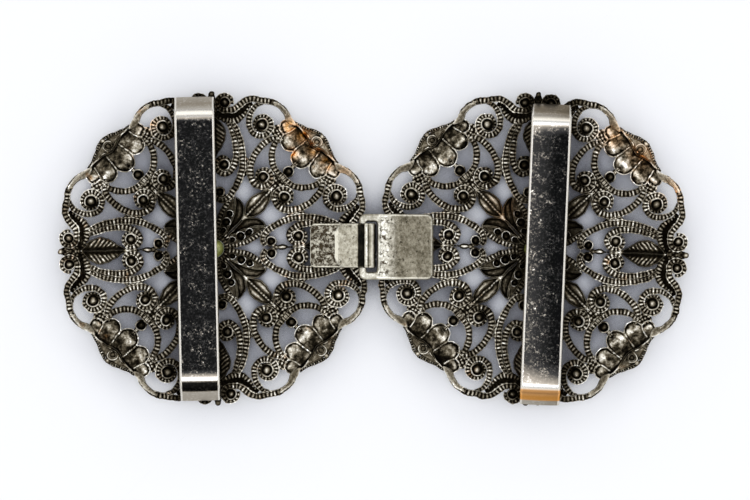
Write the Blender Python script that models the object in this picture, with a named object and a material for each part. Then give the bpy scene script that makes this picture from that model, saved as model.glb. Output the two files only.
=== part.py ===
"""Apron clasp, fastened and lying on its front with its back up.

Two round pierced medallions, each with a stone and a ribbon bar, are joined by a hook and an eye
plate. Sizes are in metres. X runs along the clasp, Z points up out of its back.
"""

import math
from collections import namedtuple

import bmesh
import bpy
import numpy as np
from mathutils import Vector
from mathutils.geometry import delaunay_2d_cdt

MM = 0.001

# Medallions
MEDALLION_RADIUS = 25.0 * MM
MEDALLION_GAP = 0.5 * MM
CENTRE_DISTANCE = 2 * MEDALLION_RADIUS + MEDALLION_GAP
LEFT_TURN = math.radians(1.3)
RIGHT_TURN = math.radians(-2.3)
DISH_RISE = 3.4 * MM
DISH_POWER = 2.6
WALL = 0.9 * MM
FRONT_RELIEF = 0.6 * MM
SEAT_GAP = 0.3 * MM
REST_LEVEL = 0.0

# Stones, each held in a milled ring at the centre of its medallion
STONE_WINDOW_RADIUS = 1.55 * MM
STONE_RADIUS = 2.1 * MM
STONE_TABLE_RADIUS = 1.4 * MM
STONE_GAP = 0.15 * MM
BEZEL_WALL = 0.4 * MM

# Ribbon bars
BAR_WIDTH = 6.4 * MM
BAR_LENGTH = 47.8 * MM
BAR_FLAT_LENGTH = 41.4 * MM
BAR_THICKNESS = 0.8 * MM
BAR_CLEAR_HEIGHT = 3.5 * MM
BAR_BEND_RADIUS = 2.0 * MM
BAR_EDGE = 0.3 * MM
LEFT_BAR_OFFSET = 2.75 * MM
RIGHT_BAR_OFFSET = 2.2 * MM
RIGHT_BAR_DROP = 0.8 * MM
BAR_EXTRA_TURN = math.radians(-0.3)

# Hook, a strip that is folded round the crossbar of the eye plate
HOOK_WIDTH = 7.05 * MM
HOOK_THICKNESS = 0.5 * MM
HOOK_PLATE_END = -9.95 * MM
HOOK_TONGUE_END = -6.0 * MM
HOOK_STEP_START = -2.4 * MM
HOOK_STEP_END = -1.4 * MM
HOOK_BEND_RADIUS = 1.3 * MM
HOOK_PLATE_CORNER = 0.7 * MM
HOOK_TONGUE_CORNER = 1.5 * MM
HOOK_TONGUE_GAP = 0.15 * MM
HOOK_STEP_DROP = 0.5 * MM
HOOK_LEVEL_LENGTH = 3.0 * MM
HOOK_SIDE_SHIFT = 0.5 * MM
STRIP_EDGE = 0.12 * MM

# Eye plate
EYE_LENGTH = 11.8 * MM
EYE_WIDTH = 10.45 * MM
EYE_THICKNESS = 0.5 * MM
EYE_START = -2.25 * MM
EYE_CORNER = 1.0 * MM
EYE_CROSSBAR = 1.15 * MM
EYE_SLOT_LENGTH = 1.65 * MM
EYE_SLOT_SIDE_GAP = 0.45 * MM
EYE_LEVEL_LENGTH = 5.3 * MM
EYE_BEND_LENGTH = 1.2 * MM
EYE_SIDE_SHIFT = 0.3 * MM
EYE_HOOK_GAP = 0.25 * MM

# The filigree pattern is drawn in 25ths of the medallion's radius, in one eighth of the disc: u runs
# out along an axis, v across it, and every row is mirrored and turned eight times.
UNIT = MEDALLION_RADIUS / 25

Point = namedtuple("Point", "u v width")
Curl = namedtuple("Curl", "u v first_radius last_radius first_deg sweep_deg last_width")
Band = namedtuple("Band", "name route curl")
Eye = namedtuple("Eye", "name u v ring pit")
Lobe = namedtuple("Lobe", "u v radius turn_deg length")
Place = namedtuple("Place", "u v")

BANDS = (
    Band(
        "rim",
        (
            Point(19.9, 12.95, 0.5),
            Point(20.7, 12.45, 0.95),
            Point(21.7, 11.85, 1.15),
            Point(22.55, 11.0, 1.2),
            Point(23.1, 10.0, 1.25),
            Point(23.3, 9.0, 1.3),
            Point(23.35, 8.0, 1.4),
            Point(23.6, 7.0, 1.25),
            Point(23.65, 6.1, 1.1),
            Point(23.35, 5.2, 1.15),
            Point(22.7, 4.35, 1.2),
            Point(22.1, 3.5, 1.15),
        ),
        Curl(23.3, 2.2, 1.45, 1.2, 165, 285, 0.75),
    ),
    Band(
        "rim_curl",
        (
            Point(23.2, 8.1, 0.7),
            Point(22.8, 7.1, 0.9),
            Point(21.9, 6.4, 1.0),
            Point(20.8, 5.95, 1.0),
        ),
        Curl(19.55, 7.9, 2.05, 1.05, -85, -310, 0.7),
    ),
    Band(
        "petal",
        (
            Point(22.6, 6.0, 0.35),
            Point(21.7, 5.3, 0.7),
            Point(20.8, 4.6, 1.0),
            Point(20.25, 3.7, 1.15),
            Point(20.2, 2.8, 1.15),
            Point(20.55, 1.8, 1.0),
            Point(21.1, 0.8, 0.6),
            Point(21.35, 0.15, 0.35),
        ),
        None,
    ),
    Band(
        "inner_lyre",
        (
            Point(19.9, 2.5, 0.5),
            Point(18.6, 3.15, 0.9),
            Point(17.3, 3.55, 1.0),
            Point(15.9, 3.72, 1.0),
            Point(14.6, 3.7, 1.0),
            Point(13.4, 3.4, 1.0),
            Point(12.45, 2.85, 1.0),
        ),
        Curl(13.35, 1.7, 1.45, 1.2, 160, 140, 0.7),
    ),
    Band(
        "outer_lyre",
        (
            Point(20.0, 3.35, 0.6),
            Point(18.9, 3.95, 0.9),
            Point(17.6, 4.4, 1.0),
            Point(16.2, 4.68, 1.0),
            Point(14.7, 4.78, 1.0),
            Point(13.2, 4.72, 1.0),
            Point(11.8, 4.42, 1.0),
            Point(10.5, 3.9, 1.0),
            Point(9.3, 3.25, 0.95),
            Point(8.3, 2.55, 0.9),
            Point(7.7, 1.75, 0.85),
            Point(7.65, 1.0, 0.8),
            Point(8.1, 0.3, 0.7),
        ),
        None,
    ),
    Band(
        "pod_edge",
        (
            Point(7.6, 2.5, 0.7),
            Point(6.5, 1.75, 0.85),
            Point(5.6, 1.2, 0.85),
            Point(4.6, 0.8, 0.8),
            Point(3.4, 0.55, 0.8),
            Point(2.2, 0.4, 0.8),
        ),
        None,
    ),
    Band(
        "heart",
        (
            Point(17.4, 10.7, 0.7),
            Point(16.4, 10.0, 0.9),
            Point(15.2, 9.65, 0.95),
            Point(13.9, 9.6, 0.95),
            Point(12.8, 9.85, 0.95),
            Point(11.85, 10.4, 0.9),
            Point(10.9, 11.2, 0.9),
        ),
        None,
    ),
    Band(
        "heart_curl",
        (
            Point(17.5, 10.4, 0.7),
            Point(17.05, 9.2, 0.95),
            Point(16.3, 8.15, 1.0),
            Point(15.4, 7.3, 1.0),
            Point(14.4, 6.6, 1.0),
            Point(13.3, 6.05, 1.0),
            Point(12.1, 5.85, 1.0),
            Point(11.0, 6.05, 1.0),
            Point(10.15, 6.6, 1.0),
        ),
        Curl(11.25, 7.95, 1.65, 1.0, 200, -215, 0.7),
    ),
)

EYES = (
    Eye("rim_eye", 19.55, 7.9, 1.15, 0.78),
    Eye("curl_eye", 11.25, 7.95, 1.1, 0.72),
    Eye("lyre_eye", 13.35, 1.7, 0.95, 0.6),
    Eye("small_eye", 9.0, 0.97, 1.0, 0.5),
    Eye("corner_eye", 23.3, 2.2, 0.9, 0.6),
    Eye("heart_bead", 12.0, 12.0, 1.0, 0.65),
    Eye("apex_bead", 16.75, 16.75, 0.88, 0.58),
    Eye("pit_inner", 2.8, 1.35, 0.55, 0.4),
    Eye("pit_middle", 4.15, 1.9, 0.8, 0.65),
    Eye("pit_outer", 5.45, 2.5, 0.6, 0.45),
)
TIP_BEAD = Eye("tip_bead", 25.15, 0.0, 0.6, 0.3)
STEM_BEAD = Eye("stem_bead", 10.75, 0.0, 0.7, 0.3)
HUB_RADIUS = 2.9
HUB_SIDES = 28

LOBES = (
    Lobe(14.2, 14.2, 1.6, 45, 2.55),
    Lobe(16.8, 12.35, 1.42, 64, 2.55),
    Lobe(19.15, 11.9, 1.05, 70, 1.2),
)

AXIS_LEAF = (
    Place(21.4, -0.1),
    Place(20.8, 0.75),
    Place(20.0, 1.5),
    Place(19.2, 2.0),
    Place(18.2, 2.2),
    Place(17.1, 2.0),
    Place(16.1, 1.45),
    Place(15.1, 0.8),
    Place(14.2, 0.3),
    Place(11.0, 0.25),
    Place(11.0, -0.1),
)
DIAGONAL_LEAF = (
    Place(4.5, 4.7),
    Place(4.6, 4.4),
    Place(5.6, 4.85),
    Place(6.8, 5.05),
    Place(7.7, 5.4),
    Place(8.4, 6.2),
    Place(8.8, 7.0),
    Place(9.35, 7.9),
    Place(9.7, 9.3),
    Place(9.3, 9.7),
)
SICKLE_LEAF = (
    Place(1.5, 1.6),
    Place(3.3, 3.5),
    Place(4.6, 4.7),
    Place(5.6, 4.95),
    Place(6.6, 4.9),
    Place(7.4, 4.5),
    Place(7.95, 4.0),
    Place(8.3, 3.1),
    Place(7.2, 3.2),
    Place(5.9, 3.1),
    Place(4.6, 2.7),
    Place(3.4, 2.1),
    Place(2.2, 1.5),
)
POD = (
    Place(1.7, 0.5),
    Place(2.2, 1.7),
    Place(3.4, 2.3),
    Place(4.6, 2.9),
    Place(5.9, 3.3),
    Place(7.2, 3.4),
    Place(8.3, 3.2),
    Place(8.0, 2.6),
    Place(6.4, 1.7),
    Place(5.4, 1.1),
    Place(4.5, 0.7),
    Place(3.4, 0.4),
)
APEX = (
    Place(15.5, 15.6),
    Place(17.8, 17.95),
    Place(18.35, 16.6),
    Place(18.8, 15.4),
    Place(19.3, 14.3),
    Place(19.95, 13.2),
    Place(20.2, 12.7),
    Place(18.6, 12.8),
    Place(16.8, 14.4),
)
PETAL_WEB = (
    Place(22.6, 6.9),
    Place(23.3, 6.5),
    Place(23.2, 5.1),
    Place(22.2, 3.9),
    Place(21.7, 3.0),
    Place(21.7, 1.8),
    Place(23.2, 0.9),
    Place(24.7, 0.35),
    Place(24.7, -0.1),
    Place(20.9, -0.1),
    Place(20.6, 1.5),
    Place(20.3, 3.0),
    Place(20.8, 4.4),
    Place(21.8, 5.4),
)
JOINT_WEB = (
    Place(16.7, 11.3),
    Place(18.3, 11.6),
    Place(19.6, 11.0),
    Place(19.6, 10.1),
    Place(18.2, 9.5),
    Place(17.0, 9.8),
    Place(16.5, 10.3),
)
HEART_WEB = (
    Place(12.4, 12.7),
    Place(13.6, 13.9),
    Place(13.8, 13.4),
    Place(12.8, 12.2),
)
LYRE_WEB = (
    Place(12.3, 4.9),
    Place(14.6, 5.0),
    Place(13.9, 6.0),
    Place(12.6, 5.6),
)
STEM_WEB = (
    Place(9.2, -0.1),
    Place(9.2, 0.6),
    Place(10.3, 0.3),
    Place(10.3, -0.1),
)
SPIRAL_WEB = (
    Place(9.3, 9.4),
    Place(9.5, 9.0),
    Place(10.2, 9.3),
    Place(11.3, 9.6),
    Place(12.2, 9.8),
    Place(11.3, 10.6),
    Place(10.8, 10.9),
)
SHAPES = (
    AXIS_LEAF,
    DIAGONAL_LEAF,
    SICKLE_LEAF,
    POD,
    APEX,
    PETAL_WEB,
    JOINT_WEB,
    HEART_WEB,
    LYRE_WEB,
    STEM_WEB,
    SPIRAL_WEB,
)

# Relief, as shares of the wall: how far a crest rises out of the back and out of the front
Relief = namedtuple("Relief", "back front")
BAND_RELIEF = Relief(-0.12, 0.35)
RING_RELIEF = Relief(0.15, 0.1)
PIT_RELIEF = Relief(-0.3, 0.6)
LOBE_RELIEF = Relief(-0.55, 0.85)
MIDRIB_RELIEF = Relief(0.3, 0.45)
FOOT_RELIEF = Relief(0.3, 2.5)

CURVE_STEP = 0.55
CREST_STEP = 4.2
OUTLINE_TOLERANCE = 0.1
SMALLEST_GAP_AREA = 0.3
EDGE_MARGIN = 0.16
CREST_SPACING = 0.42

METAL = {"colour": (0.23, 0.2, 0.15, 1.0), "roughness": 0.42, "metallic": 1.0}
STEEL = {"colour": (0.3, 0.29, 0.28, 1.0), "roughness": 0.35, "metallic": 1.0}
BRIGHT = {"colour": (0.55, 0.53, 0.48, 1.0), "roughness": 0.38, "metallic": 1.0}
STONE = {"colour": (0.5, 0.55, 0.12, 1.0), "roughness": 0.12, "metallic": 0.0}


def dish(radius):
    """Height of the dish over its centre, at a distance from the axis."""
    return DISH_RISE * (radius / MEDALLION_RADIUS) ** DISH_POWER


def back_level(radius):
    """Height of the plain back of a medallion over the surface that the clasp lies on."""
    return FRONT_RELIEF + WALL + dish(radius)


def smooth(points, step):
    """Points along a Catmull-Rom curve through the given rows, about one step apart."""
    rows = np.array(points, float)
    rows = np.vstack([2 * rows[0] - rows[1], rows, 2 * rows[-1] - rows[-2]])
    out = []
    for a, b, c, d in zip(rows, rows[1:], rows[2:], rows[3:]):
        count = max(1, round(float(np.linalg.norm((c - b)[:2])) / step))
        for k in range(count):
            t = k / count
            out.append(
                0.5 * (2 * b + (c - a) * t + (2 * a - 5 * b + 4 * c - d) * t**2)
                + 0.5 * (3 * b - a - 3 * c + d) * t**3
            )
    out.append(rows[-2])
    return np.array(out)


def spaced(points, step):
    """Points at even steps along a line of points."""
    reach = np.concatenate([[0.0], np.cumsum(np.linalg.norm(np.diff(points, axis=0), axis=1))])
    count = max(1, round(float(reach[-1]) / step))
    at = np.linspace(0.5 / count, 1 - 0.5 / count, count) * reach[-1]
    return np.stack([np.interp(at, reach, points[:, 0]), np.interp(at, reach, points[:, 1])], 1)


def band_rows(band):
    """The rows of a band, with the turns of its curl added."""
    rows = list(band.route)
    if band.curl is None:
        return rows
    curl = band.curl
    count = max(4, round(abs(curl.sweep_deg) / 28))
    for k in range(count + 1):
        t = k / count
        radius = curl.first_radius + (curl.last_radius - curl.first_radius) * t**2
        angle = math.radians(curl.first_deg + curl.sweep_deg * t)
        width = rows[-1].width * (1 - t) + curl.last_width * t
        rows.append(
            Point(curl.u + radius * math.cos(angle), curl.v + radius * math.sin(angle), width)
        )
    return rows


def band_sides(points):
    """The two long edges of a band."""
    along = np.gradient(points[:, :2], axis=0)
    along /= np.linalg.norm(along, axis=1)[:, None]
    across = np.stack([-along[:, 1], along[:, 0]], axis=1) * points[:, 2:3] / 2
    return points[:, :2] + across, points[:, :2] - across


def circle(u, v, radius, count):
    return [
        (
            u + radius * math.cos(2 * math.pi * k / count),
            v + radius * math.sin(2 * math.pi * k / count),
        )
        for k in range(count)
    ]


def lobe_outline(lobe, count=9):
    """A lobe: a round inner end with straight sides that run out to the rim."""
    turn = math.radians(lobe.turn_deg)
    along = Vector((math.cos(turn), math.sin(turn)))
    across = Vector((-along.y, along.x))
    centre = Vector((lobe.u, lobe.v))
    out = [centre + along * lobe.length + across * lobe.radius]
    for k in range(count + 1):
        angle = math.pi / 2 + math.pi * k / count
        out.append(
            centre
            + along * math.cos(angle) * lobe.radius
            + across * math.sin(angle) * lobe.radius
        )
    out.append(centre + along * lobe.length - across * lobe.radius)
    return [tuple(point) for point in out]


def eighth_polygons():
    """Every flat shape in one eighth of the pattern, as a list of outlines."""
    out = [list(shape) for shape in SHAPES]
    out += [lobe_outline(lobe) for lobe in LOBES]
    for eye in EYES + (STEM_BEAD,):
        out.append(circle(eye.u, eye.v, eye.ring, 12))
    for band in BANDS:
        if band.curl:
            out.append(circle(band.curl.u, band.curl.v, band.curl.first_radius, 16))
        left, right = band_sides(smooth(band_rows(band), CURVE_STEP))
        for k in range(len(left) - 1):
            out.append([left[k], left[k + 1], right[k + 1], right[k]])
    return out


def crest(u, v, relief):
    return (u, v, relief.back, relief.front)


def eighth_crests():
    """Points inside the metal of one eighth that are raised or sunk, with their relief."""
    out = []
    for eye in EYES:
        out.append(crest(eye.u, eye.v, PIT_RELIEF))
        if eye.ring > 0.95:
            for u, v in circle(eye.u, eye.v, (eye.ring + eye.pit) / 2, 5):
                out.append(crest(u, v, RING_RELIEF))
    for lobe in LOBES:
        out.append(crest(lobe.u, lobe.v, LOBE_RELIEF))
        for share in (0.35, 0.7):
            reach = lobe.length * share
            turn = math.radians(lobe.turn_deg)
            u = lobe.u + reach * math.cos(turn)
            v = lobe.v + reach * math.sin(turn)
            out.append(crest(u, v, Relief(LOBE_RELIEF.back * (1 - share), LOBE_RELIEF.front)))
    for u in (15.0, 16.2, 17.4, 18.6, 19.8):
        out.append(crest(u, 0.0, MIDRIB_RELIEF))
    for along in (5.6, 6.7, 7.7, 8.6):
        out.append(crest(along, along, FOOT_RELIEF))
    for u, v in ((4.5, 3.6), (5.8, 3.95), (6.9, 3.85)):
        out.append(crest(u, v, BAND_RELIEF))
    for band in BANDS:
        for u, v in spaced(smooth(band_rows(band), CURVE_STEP)[:, :2], CREST_STEP):
            out.append(crest(u, v, BAND_RELIEF))
    return out


def symmetries():
    """The eight turns and mirrors of the pattern, as 2 by 2 matrices."""
    for quarter in range(4):
        c, s = round(math.cos(quarter * math.pi / 2)), round(math.sin(quarter * math.pi / 2))
        for mirror in (1, -1):
            yield np.array([[c, -s * mirror], [s, c * mirror]], float)


def triangulate(points, edges, faces, kind):
    """Constrained triangulation in the plane: points, triangles and each one's input faces."""
    found = delaunay_2d_cdt([Vector(p[:2]) for p in points], edges, faces, kind, 1e-4)
    return np.array([tuple(v) for v in found[0]]), found[2], found[5]


def border_edges(triangles):
    """Directed edges that only one triangle uses."""
    used = {}
    for tri in triangles:
        for a, b in zip(tri, tri[1:] + tri[:1]):
            used[(a, b)] = used.get((a, b), 0) + 1
    return [(a, b) for a, b in used if (b, a) not in used]


def loops_of(edges):
    """Directed border edges joined into closed loops."""
    following = {}
    for a, b in edges:
        following.setdefault(a, []).append(b)
    loops = []
    while following:
        first = next(iter(following))
        loop = [first]
        at = following[first].pop()
        while at != first:
            loop.append(at)
            at = following[at].pop()
        loops.append(loop)
        following = {key: ends for key, ends in following.items() if ends}
    return loops


def loop_area(loop):
    x, y = loop[:, 0], loop[:, 1]
    return 0.5 * float(np.sum(x * np.roll(y, -1) - np.roll(x, -1) * y))


def simplified(loop):
    """The loop without the points that its shape doesn't need."""
    loop = [tuple(p) for p in loop]
    while len(loop) > 6:
        p = np.array(loop)
        before, after = np.roll(p, 1, axis=0), np.roll(p, -1, axis=0)
        chord = after - before
        length = np.linalg.norm(chord, axis=1) + 1e-9
        offset = p - before
        height = np.abs(chord[:, 0] * offset[:, 1] - chord[:, 1] * offset[:, 0]) / length
        height += 10.0 * (length > 2.6)
        least = int(np.argmin(height))
        if height[least] > OUTLINE_TOLERANCE:
            break
        loop.pop(least)
    return np.array(loop)


def inside(points, loops):
    """Which points lie inside an odd number of loops."""
    odd = np.zeros(len(points), bool)
    for loop in loops:
        a, b = loop, np.roll(loop, -1, axis=0)
        for (ax, ay), (bx, by) in zip(a, b):
            spans = (ay > points[:, 1]) != (by > points[:, 1])
            if ay != by:
                cross = ax + (points[:, 1] - ay) * (bx - ax) / (by - ay)
                odd ^= spans & (points[:, 0] < cross)
    return odd


def edge_distance(points, loops):
    """Distance from each point to the nearest loop."""
    best = np.full(len(points), 1e9)
    for loop in loops:
        for a, b in zip(loop, np.roll(loop, -1, axis=0)):
            along = b - a
            t = np.clip(((points - a) @ along) / (along @ along + 1e-12), 0, 1)
            best = np.minimum(best, np.linalg.norm(points - a - t[:, None] * along, axis=1))
    return best


def pattern_loops():
    """The outline of the whole pattern and of each of its gaps.

    The tip that meets the other medallion, towards +X, has no bead.
    """
    points, faces = [], []
    bead = circle(TIP_BEAD.u, TIP_BEAD.v, TIP_BEAD.ring, 12)
    for matrix in symmetries():
        meets_other = matrix[0, 0] > 0.5
        for outline in eighth_polygons() + ([] if meets_other else [bead]):
            turned = np.array([tuple(p)[:2] for p in outline]) @ matrix.T
            if loop_area(turned) < 0:
                turned = turned[::-1]
            faces.append(list(range(len(points), len(points) + len(turned))))
            points += [tuple(p) for p in turned]
    faces.append(list(range(len(points), len(points) + HUB_SIDES)))
    points += circle(0, 0, HUB_RADIUS, HUB_SIDES)
    flat, triangles, sources = triangulate(points, [], faces, 1)
    kept = [tri for tri, source in zip(triangles, sources) if source]
    loops = [flat[loop] for loop in loops_of(border_edges(kept))]
    return [simplified(loop) for loop in loops if abs(loop_area(loop)) > SMALLEST_GAP_AREA]


def crest_points(loops):
    """Crest points of the whole pattern, spaced apart and clear of the edges."""
    rows = []
    for matrix in symmetries():
        for u, v, back, front in eighth_crests():
            x, y = matrix @ np.array([u, v])
            rows.append((x, y, back, front))
    rows = np.array(rows)
    rows = rows[inside(rows[:, :2], loops)]
    rows = rows[edge_distance(rows[:, :2], loops) > EDGE_MARGIN]
    kept = []
    for row in rows:
        if math.hypot(row[0], row[1]) < 3.0:
            continue
        near = any(math.hypot(row[0] - k[0], row[1] - k[1]) < CREST_SPACING for k in kept)
        if not near:
            kept.append(tuple(row))
    return kept


def bezel_rings():
    """Rings round the stone window, as radius on the drawn disc, count and relief."""
    seat = STONE_RADIUS + STONE_GAP
    outer = seat + BEZEL_WALL
    top = (FRONT_RELIEF * 0.85) / WALL
    return (
        ((STONE_WINDOW_RADIUS + 0.3 * MM) / UNIT, 16, Relief(0.25, 0.0)),
        (seat / UNIT, 16, Relief(0.0, 0.0)),
        ((seat + 0.1 * MM) / UNIT, 16, Relief(0.0, top)),
        (outer / UNIT, 16, Relief(0.0, top)),
    )


def make_medallion(name, material):
    """One pierced medallion, its clasp side towards +X, as one closed solid."""
    loops = pattern_loops()
    window = np.array(circle(0, 0, STONE_WINDOW_RADIUS / UNIT, 16))
    loops.append(window[::-1])
    rows = crest_points(loops)
    for radius, count, relief in bezel_rings():
        rows += [crest(u, v, relief) for u, v in circle(0, 0, radius, count)]
    points = [tuple(p) for loop in loops for p in loop]
    edges = []
    start = 0
    for loop in loops:
        size = len(loop)
        edges += [(start + k, start + (k + 1) % size) for k in range(size)]
        start += size
    points += [row[:2] for row in rows]
    flat, triangles, _ = triangulate(points, edges, [], 0)
    centres = np.array([flat[list(tri)].mean(axis=0) for tri in triangles])
    keep = inside(centres, loops)
    triangles = [tri for tri, good in zip(triangles, keep) if good]
    reliefs = {(round(r[0], 4), round(r[1], 4)): (r[2], r[3]) for r in rows}
    mesh = bmesh.new()
    back, front = {}, {}
    for index in sorted({i for tri in triangles for i in tri}):
        u, v = flat[index]
        up, down = reliefs.get((round(u, 4), round(v, 4)), (0.0, 0.0))
        level = back_level(math.hypot(u, v) * UNIT)
        low = max(REST_LEVEL, level - WALL - down * WALL)
        back[index] = mesh.verts.new((u * UNIT, v * UNIT, level + up * WALL))
        front[index] = mesh.verts.new((u * UNIT, v * UNIT, low))
    for a, b, c in triangles:
        mesh.faces.new((back[a], back[b], back[c]))
        mesh.faces.new((front[c], front[b], front[a]))
    for a, b in border_edges(triangles):
        mesh.faces.new((back[b], back[a], front[a], front[b]))
    bmesh.ops.recalc_face_normals(mesh, faces=mesh.faces)
    return finished(name, mesh, material)


def finished(name, mesh, material):
    data = bpy.data.meshes.new(name)
    mesh.to_mesh(data)
    mesh.free()
    data.materials.append(material)
    obj = bpy.data.objects.new(name, data)
    bpy.context.scene.collection.objects.link(obj)
    return obj


def make_material(name, look):
    material = bpy.data.materials.new(name)
    material.use_nodes = True
    shader = material.node_tree.nodes["Principled BSDF"]
    shader.inputs["Base Color"].default_value = look["colour"]
    shader.inputs["Roughness"].default_value = look["roughness"]
    shader.inputs["Metallic"].default_value = look["metallic"]
    return material


def make_turned(name, profile, count, material):
    """A closed turned solid from (radius, height) rows that start and end on the axis."""
    mesh = bmesh.new()
    first = mesh.verts.new((0, 0, profile[0][1]))
    last = mesh.verts.new((0, 0, profile[-1][1]))
    rings = []
    for radius, height in profile[1:-1]:
        rings.append([mesh.verts.new((x, y, height)) for x, y in circle(0, 0, radius, count)])
    for k in range(count):
        after = (k + 1) % count
        mesh.faces.new((first, rings[0][k], rings[0][after]))
        mesh.faces.new((last, rings[-1][after], rings[-1][k]))
        for upper, lower in zip(rings, rings[1:]):
            mesh.faces.new((upper[k], lower[k], lower[after], upper[after]))
    bmesh.ops.recalc_face_normals(mesh, faces=mesh.faces)
    return finished(name, mesh, material)


def make_strip(name, stations, thickness, edge, material):
    """A bent strip: each station is (along, height, half width) on its middle line.

    The strip's edges are chamfered, and it runs along X with its width along Y.
    """
    mesh = bmesh.new()
    places = [Vector((x, z)) for x, z, _ in stations]
    sections = []
    for k, (x, z, half) in enumerate(stations):
        before = places[max(k - 1, 0)]
        after = places[min(k + 1, len(places) - 1)]
        here = Vector((x, z))
        into = (here - before).normalized() if k else (after - here).normalized()
        away = (after - here).normalized() if k < len(places) - 1 else into
        along = (into + away).normalized()
        normal = Vector((-along.y, along.x)) / max(0.5, along.dot(into))
        ring = []
        for side, rise in (
            (-1.0, 0.0),
            (-1.0, 1.0),
            (1.0, 1.0),
            (1.0, 0.0),
        ):
            corners = ((0, edge), (edge, 0)) if (side > 0) != (rise > 0) else ((edge, 0), (0, edge))
            for inset_y, inset_z in corners:
                y = side * (half - inset_y)
                away_from_middle = (thickness / 2 - inset_z) * (1 if rise else -1)
                spot = here + normal * away_from_middle
                ring.append(mesh.verts.new((spot.x, y, spot.y)))
        sections.append(ring)
    for ring, after in zip(sections, sections[1:]):
        for k in range(len(ring)):
            j = (k + 1) % len(ring)
            mesh.faces.new((ring[k], ring[j], after[j], after[k]))
    mesh.faces.new(sections[0])
    mesh.faces.new(sections[-1][::-1])
    bmesh.ops.recalc_face_normals(mesh, faces=mesh.faces)
    return finished(name, mesh, material)


def rounded_end(start, inward, half, radius, count=4):
    """Stations (distance, half width) that round off the end of a strip."""
    out = []
    for k in range(count + 1):
        angle = math.pi / 2 * k / count
        reach = radius * (1 - math.cos(angle))
        out.append((start + inward * reach, half - radius * (1 - math.sin(angle))))
    return out


def make_bar(name, material):
    """A ribbon bar along X: two legs that stand on the rim and a flat part between them."""
    half = BAR_WIDTH / 2
    foot = back_level(BAR_LENGTH / 2) + SEAT_GAP
    top = foot + BAR_CLEAR_HEIGHT + BAR_THICKNESS / 2
    middle = BAR_BEND_RADIUS - BAR_THICKNESS / 2
    flat_end = BAR_FLAT_LENGTH / 2
    slope = math.atan2(top - middle - foot, BAR_LENGTH / 2 - flat_end - middle)
    right = [(0.0, top, half), (flat_end, top, half)]
    for k in range(1, 6):
        angle = slope * k / 5
        right.append(
            (flat_end + middle * math.sin(angle), top - middle * (1 - math.cos(angle)), half)
        )
    right.append((BAR_LENGTH / 2, foot + BAR_EDGE, half))
    stations = [(-x, z, w) for x, z, w in reversed(right[1:])] + right
    return make_strip(name, stations, BAR_THICKNESS, BAR_EDGE, material)


def hook_level():
    """Middle height of the hook's lower arm where it crosses the rims."""
    return back_level(MEDALLION_RADIUS) + SEAT_GAP + HOOK_THICKNESS / 2


def make_hook(material):
    half = HOOK_WIDTH / 2
    level = hook_level()
    reach = CENTRE_DISTANCE / 2 + HOOK_PLATE_END
    seat = back_level(reach) + SEAT_GAP + HOOK_THICKNESS / 2
    slope = (level - seat) / (-HOOK_LEVEL_LENGTH - HOOK_PLATE_END)
    middle = HOOK_BEND_RADIUS - HOOK_THICKNESS / 2
    stations = []
    for x, width in rounded_end(HOOK_PLATE_END, 1, half, HOOK_PLATE_CORNER):
        stations.append((x, seat + (x - HOOK_PLATE_END) * slope, width))
    stations.append((-HOOK_LEVEL_LENGTH, level, half))
    for k in range(11):
        angle = -math.pi / 2 + math.pi * k / 10
        x = -HOOK_BEND_RADIUS + middle * math.cos(angle)
        stations.append((x, level + middle * (1 + math.sin(angle)), half))
    top = level + 2 * middle
    stations.append((HOOK_STEP_END, top - 0.02 * MM, half))
    stations.append((HOOK_STEP_START, top - HOOK_STEP_DROP, half))
    lying = seat + (HOOK_TONGUE_END - HOOK_PLATE_END) * slope + HOOK_THICKNESS + HOOK_TONGUE_GAP
    fall = (top - HOOK_STEP_DROP - lying) / (HOOK_STEP_START - HOOK_TONGUE_END)
    for x, width in reversed(rounded_end(HOOK_TONGUE_END, 1, half, HOOK_TONGUE_CORNER, 5)):
        stations.append((x, lying + (x - HOOK_TONGUE_END) * fall, width))
    return make_strip("hook", stations, HOOK_THICKNESS, STRIP_EDGE, material)


def rounded_rectangle(x0, x1, half, radius, count=4):
    """Corner points of a rounded rectangle, counterclockwise."""
    out = []
    for cx, cy, first in (
        (x1 - radius, half - radius, 0),
        (x0 + radius, half - radius, 90),
        (x0 + radius, -half + radius, 180),
        (x1 - radius, -half + radius, 270),
    ):
        for k in range(count + 1):
            angle = math.radians(first + 90 * k / count)
            out.append((cx + radius * math.cos(angle), cy + radius * math.sin(angle)))
    return out


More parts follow.
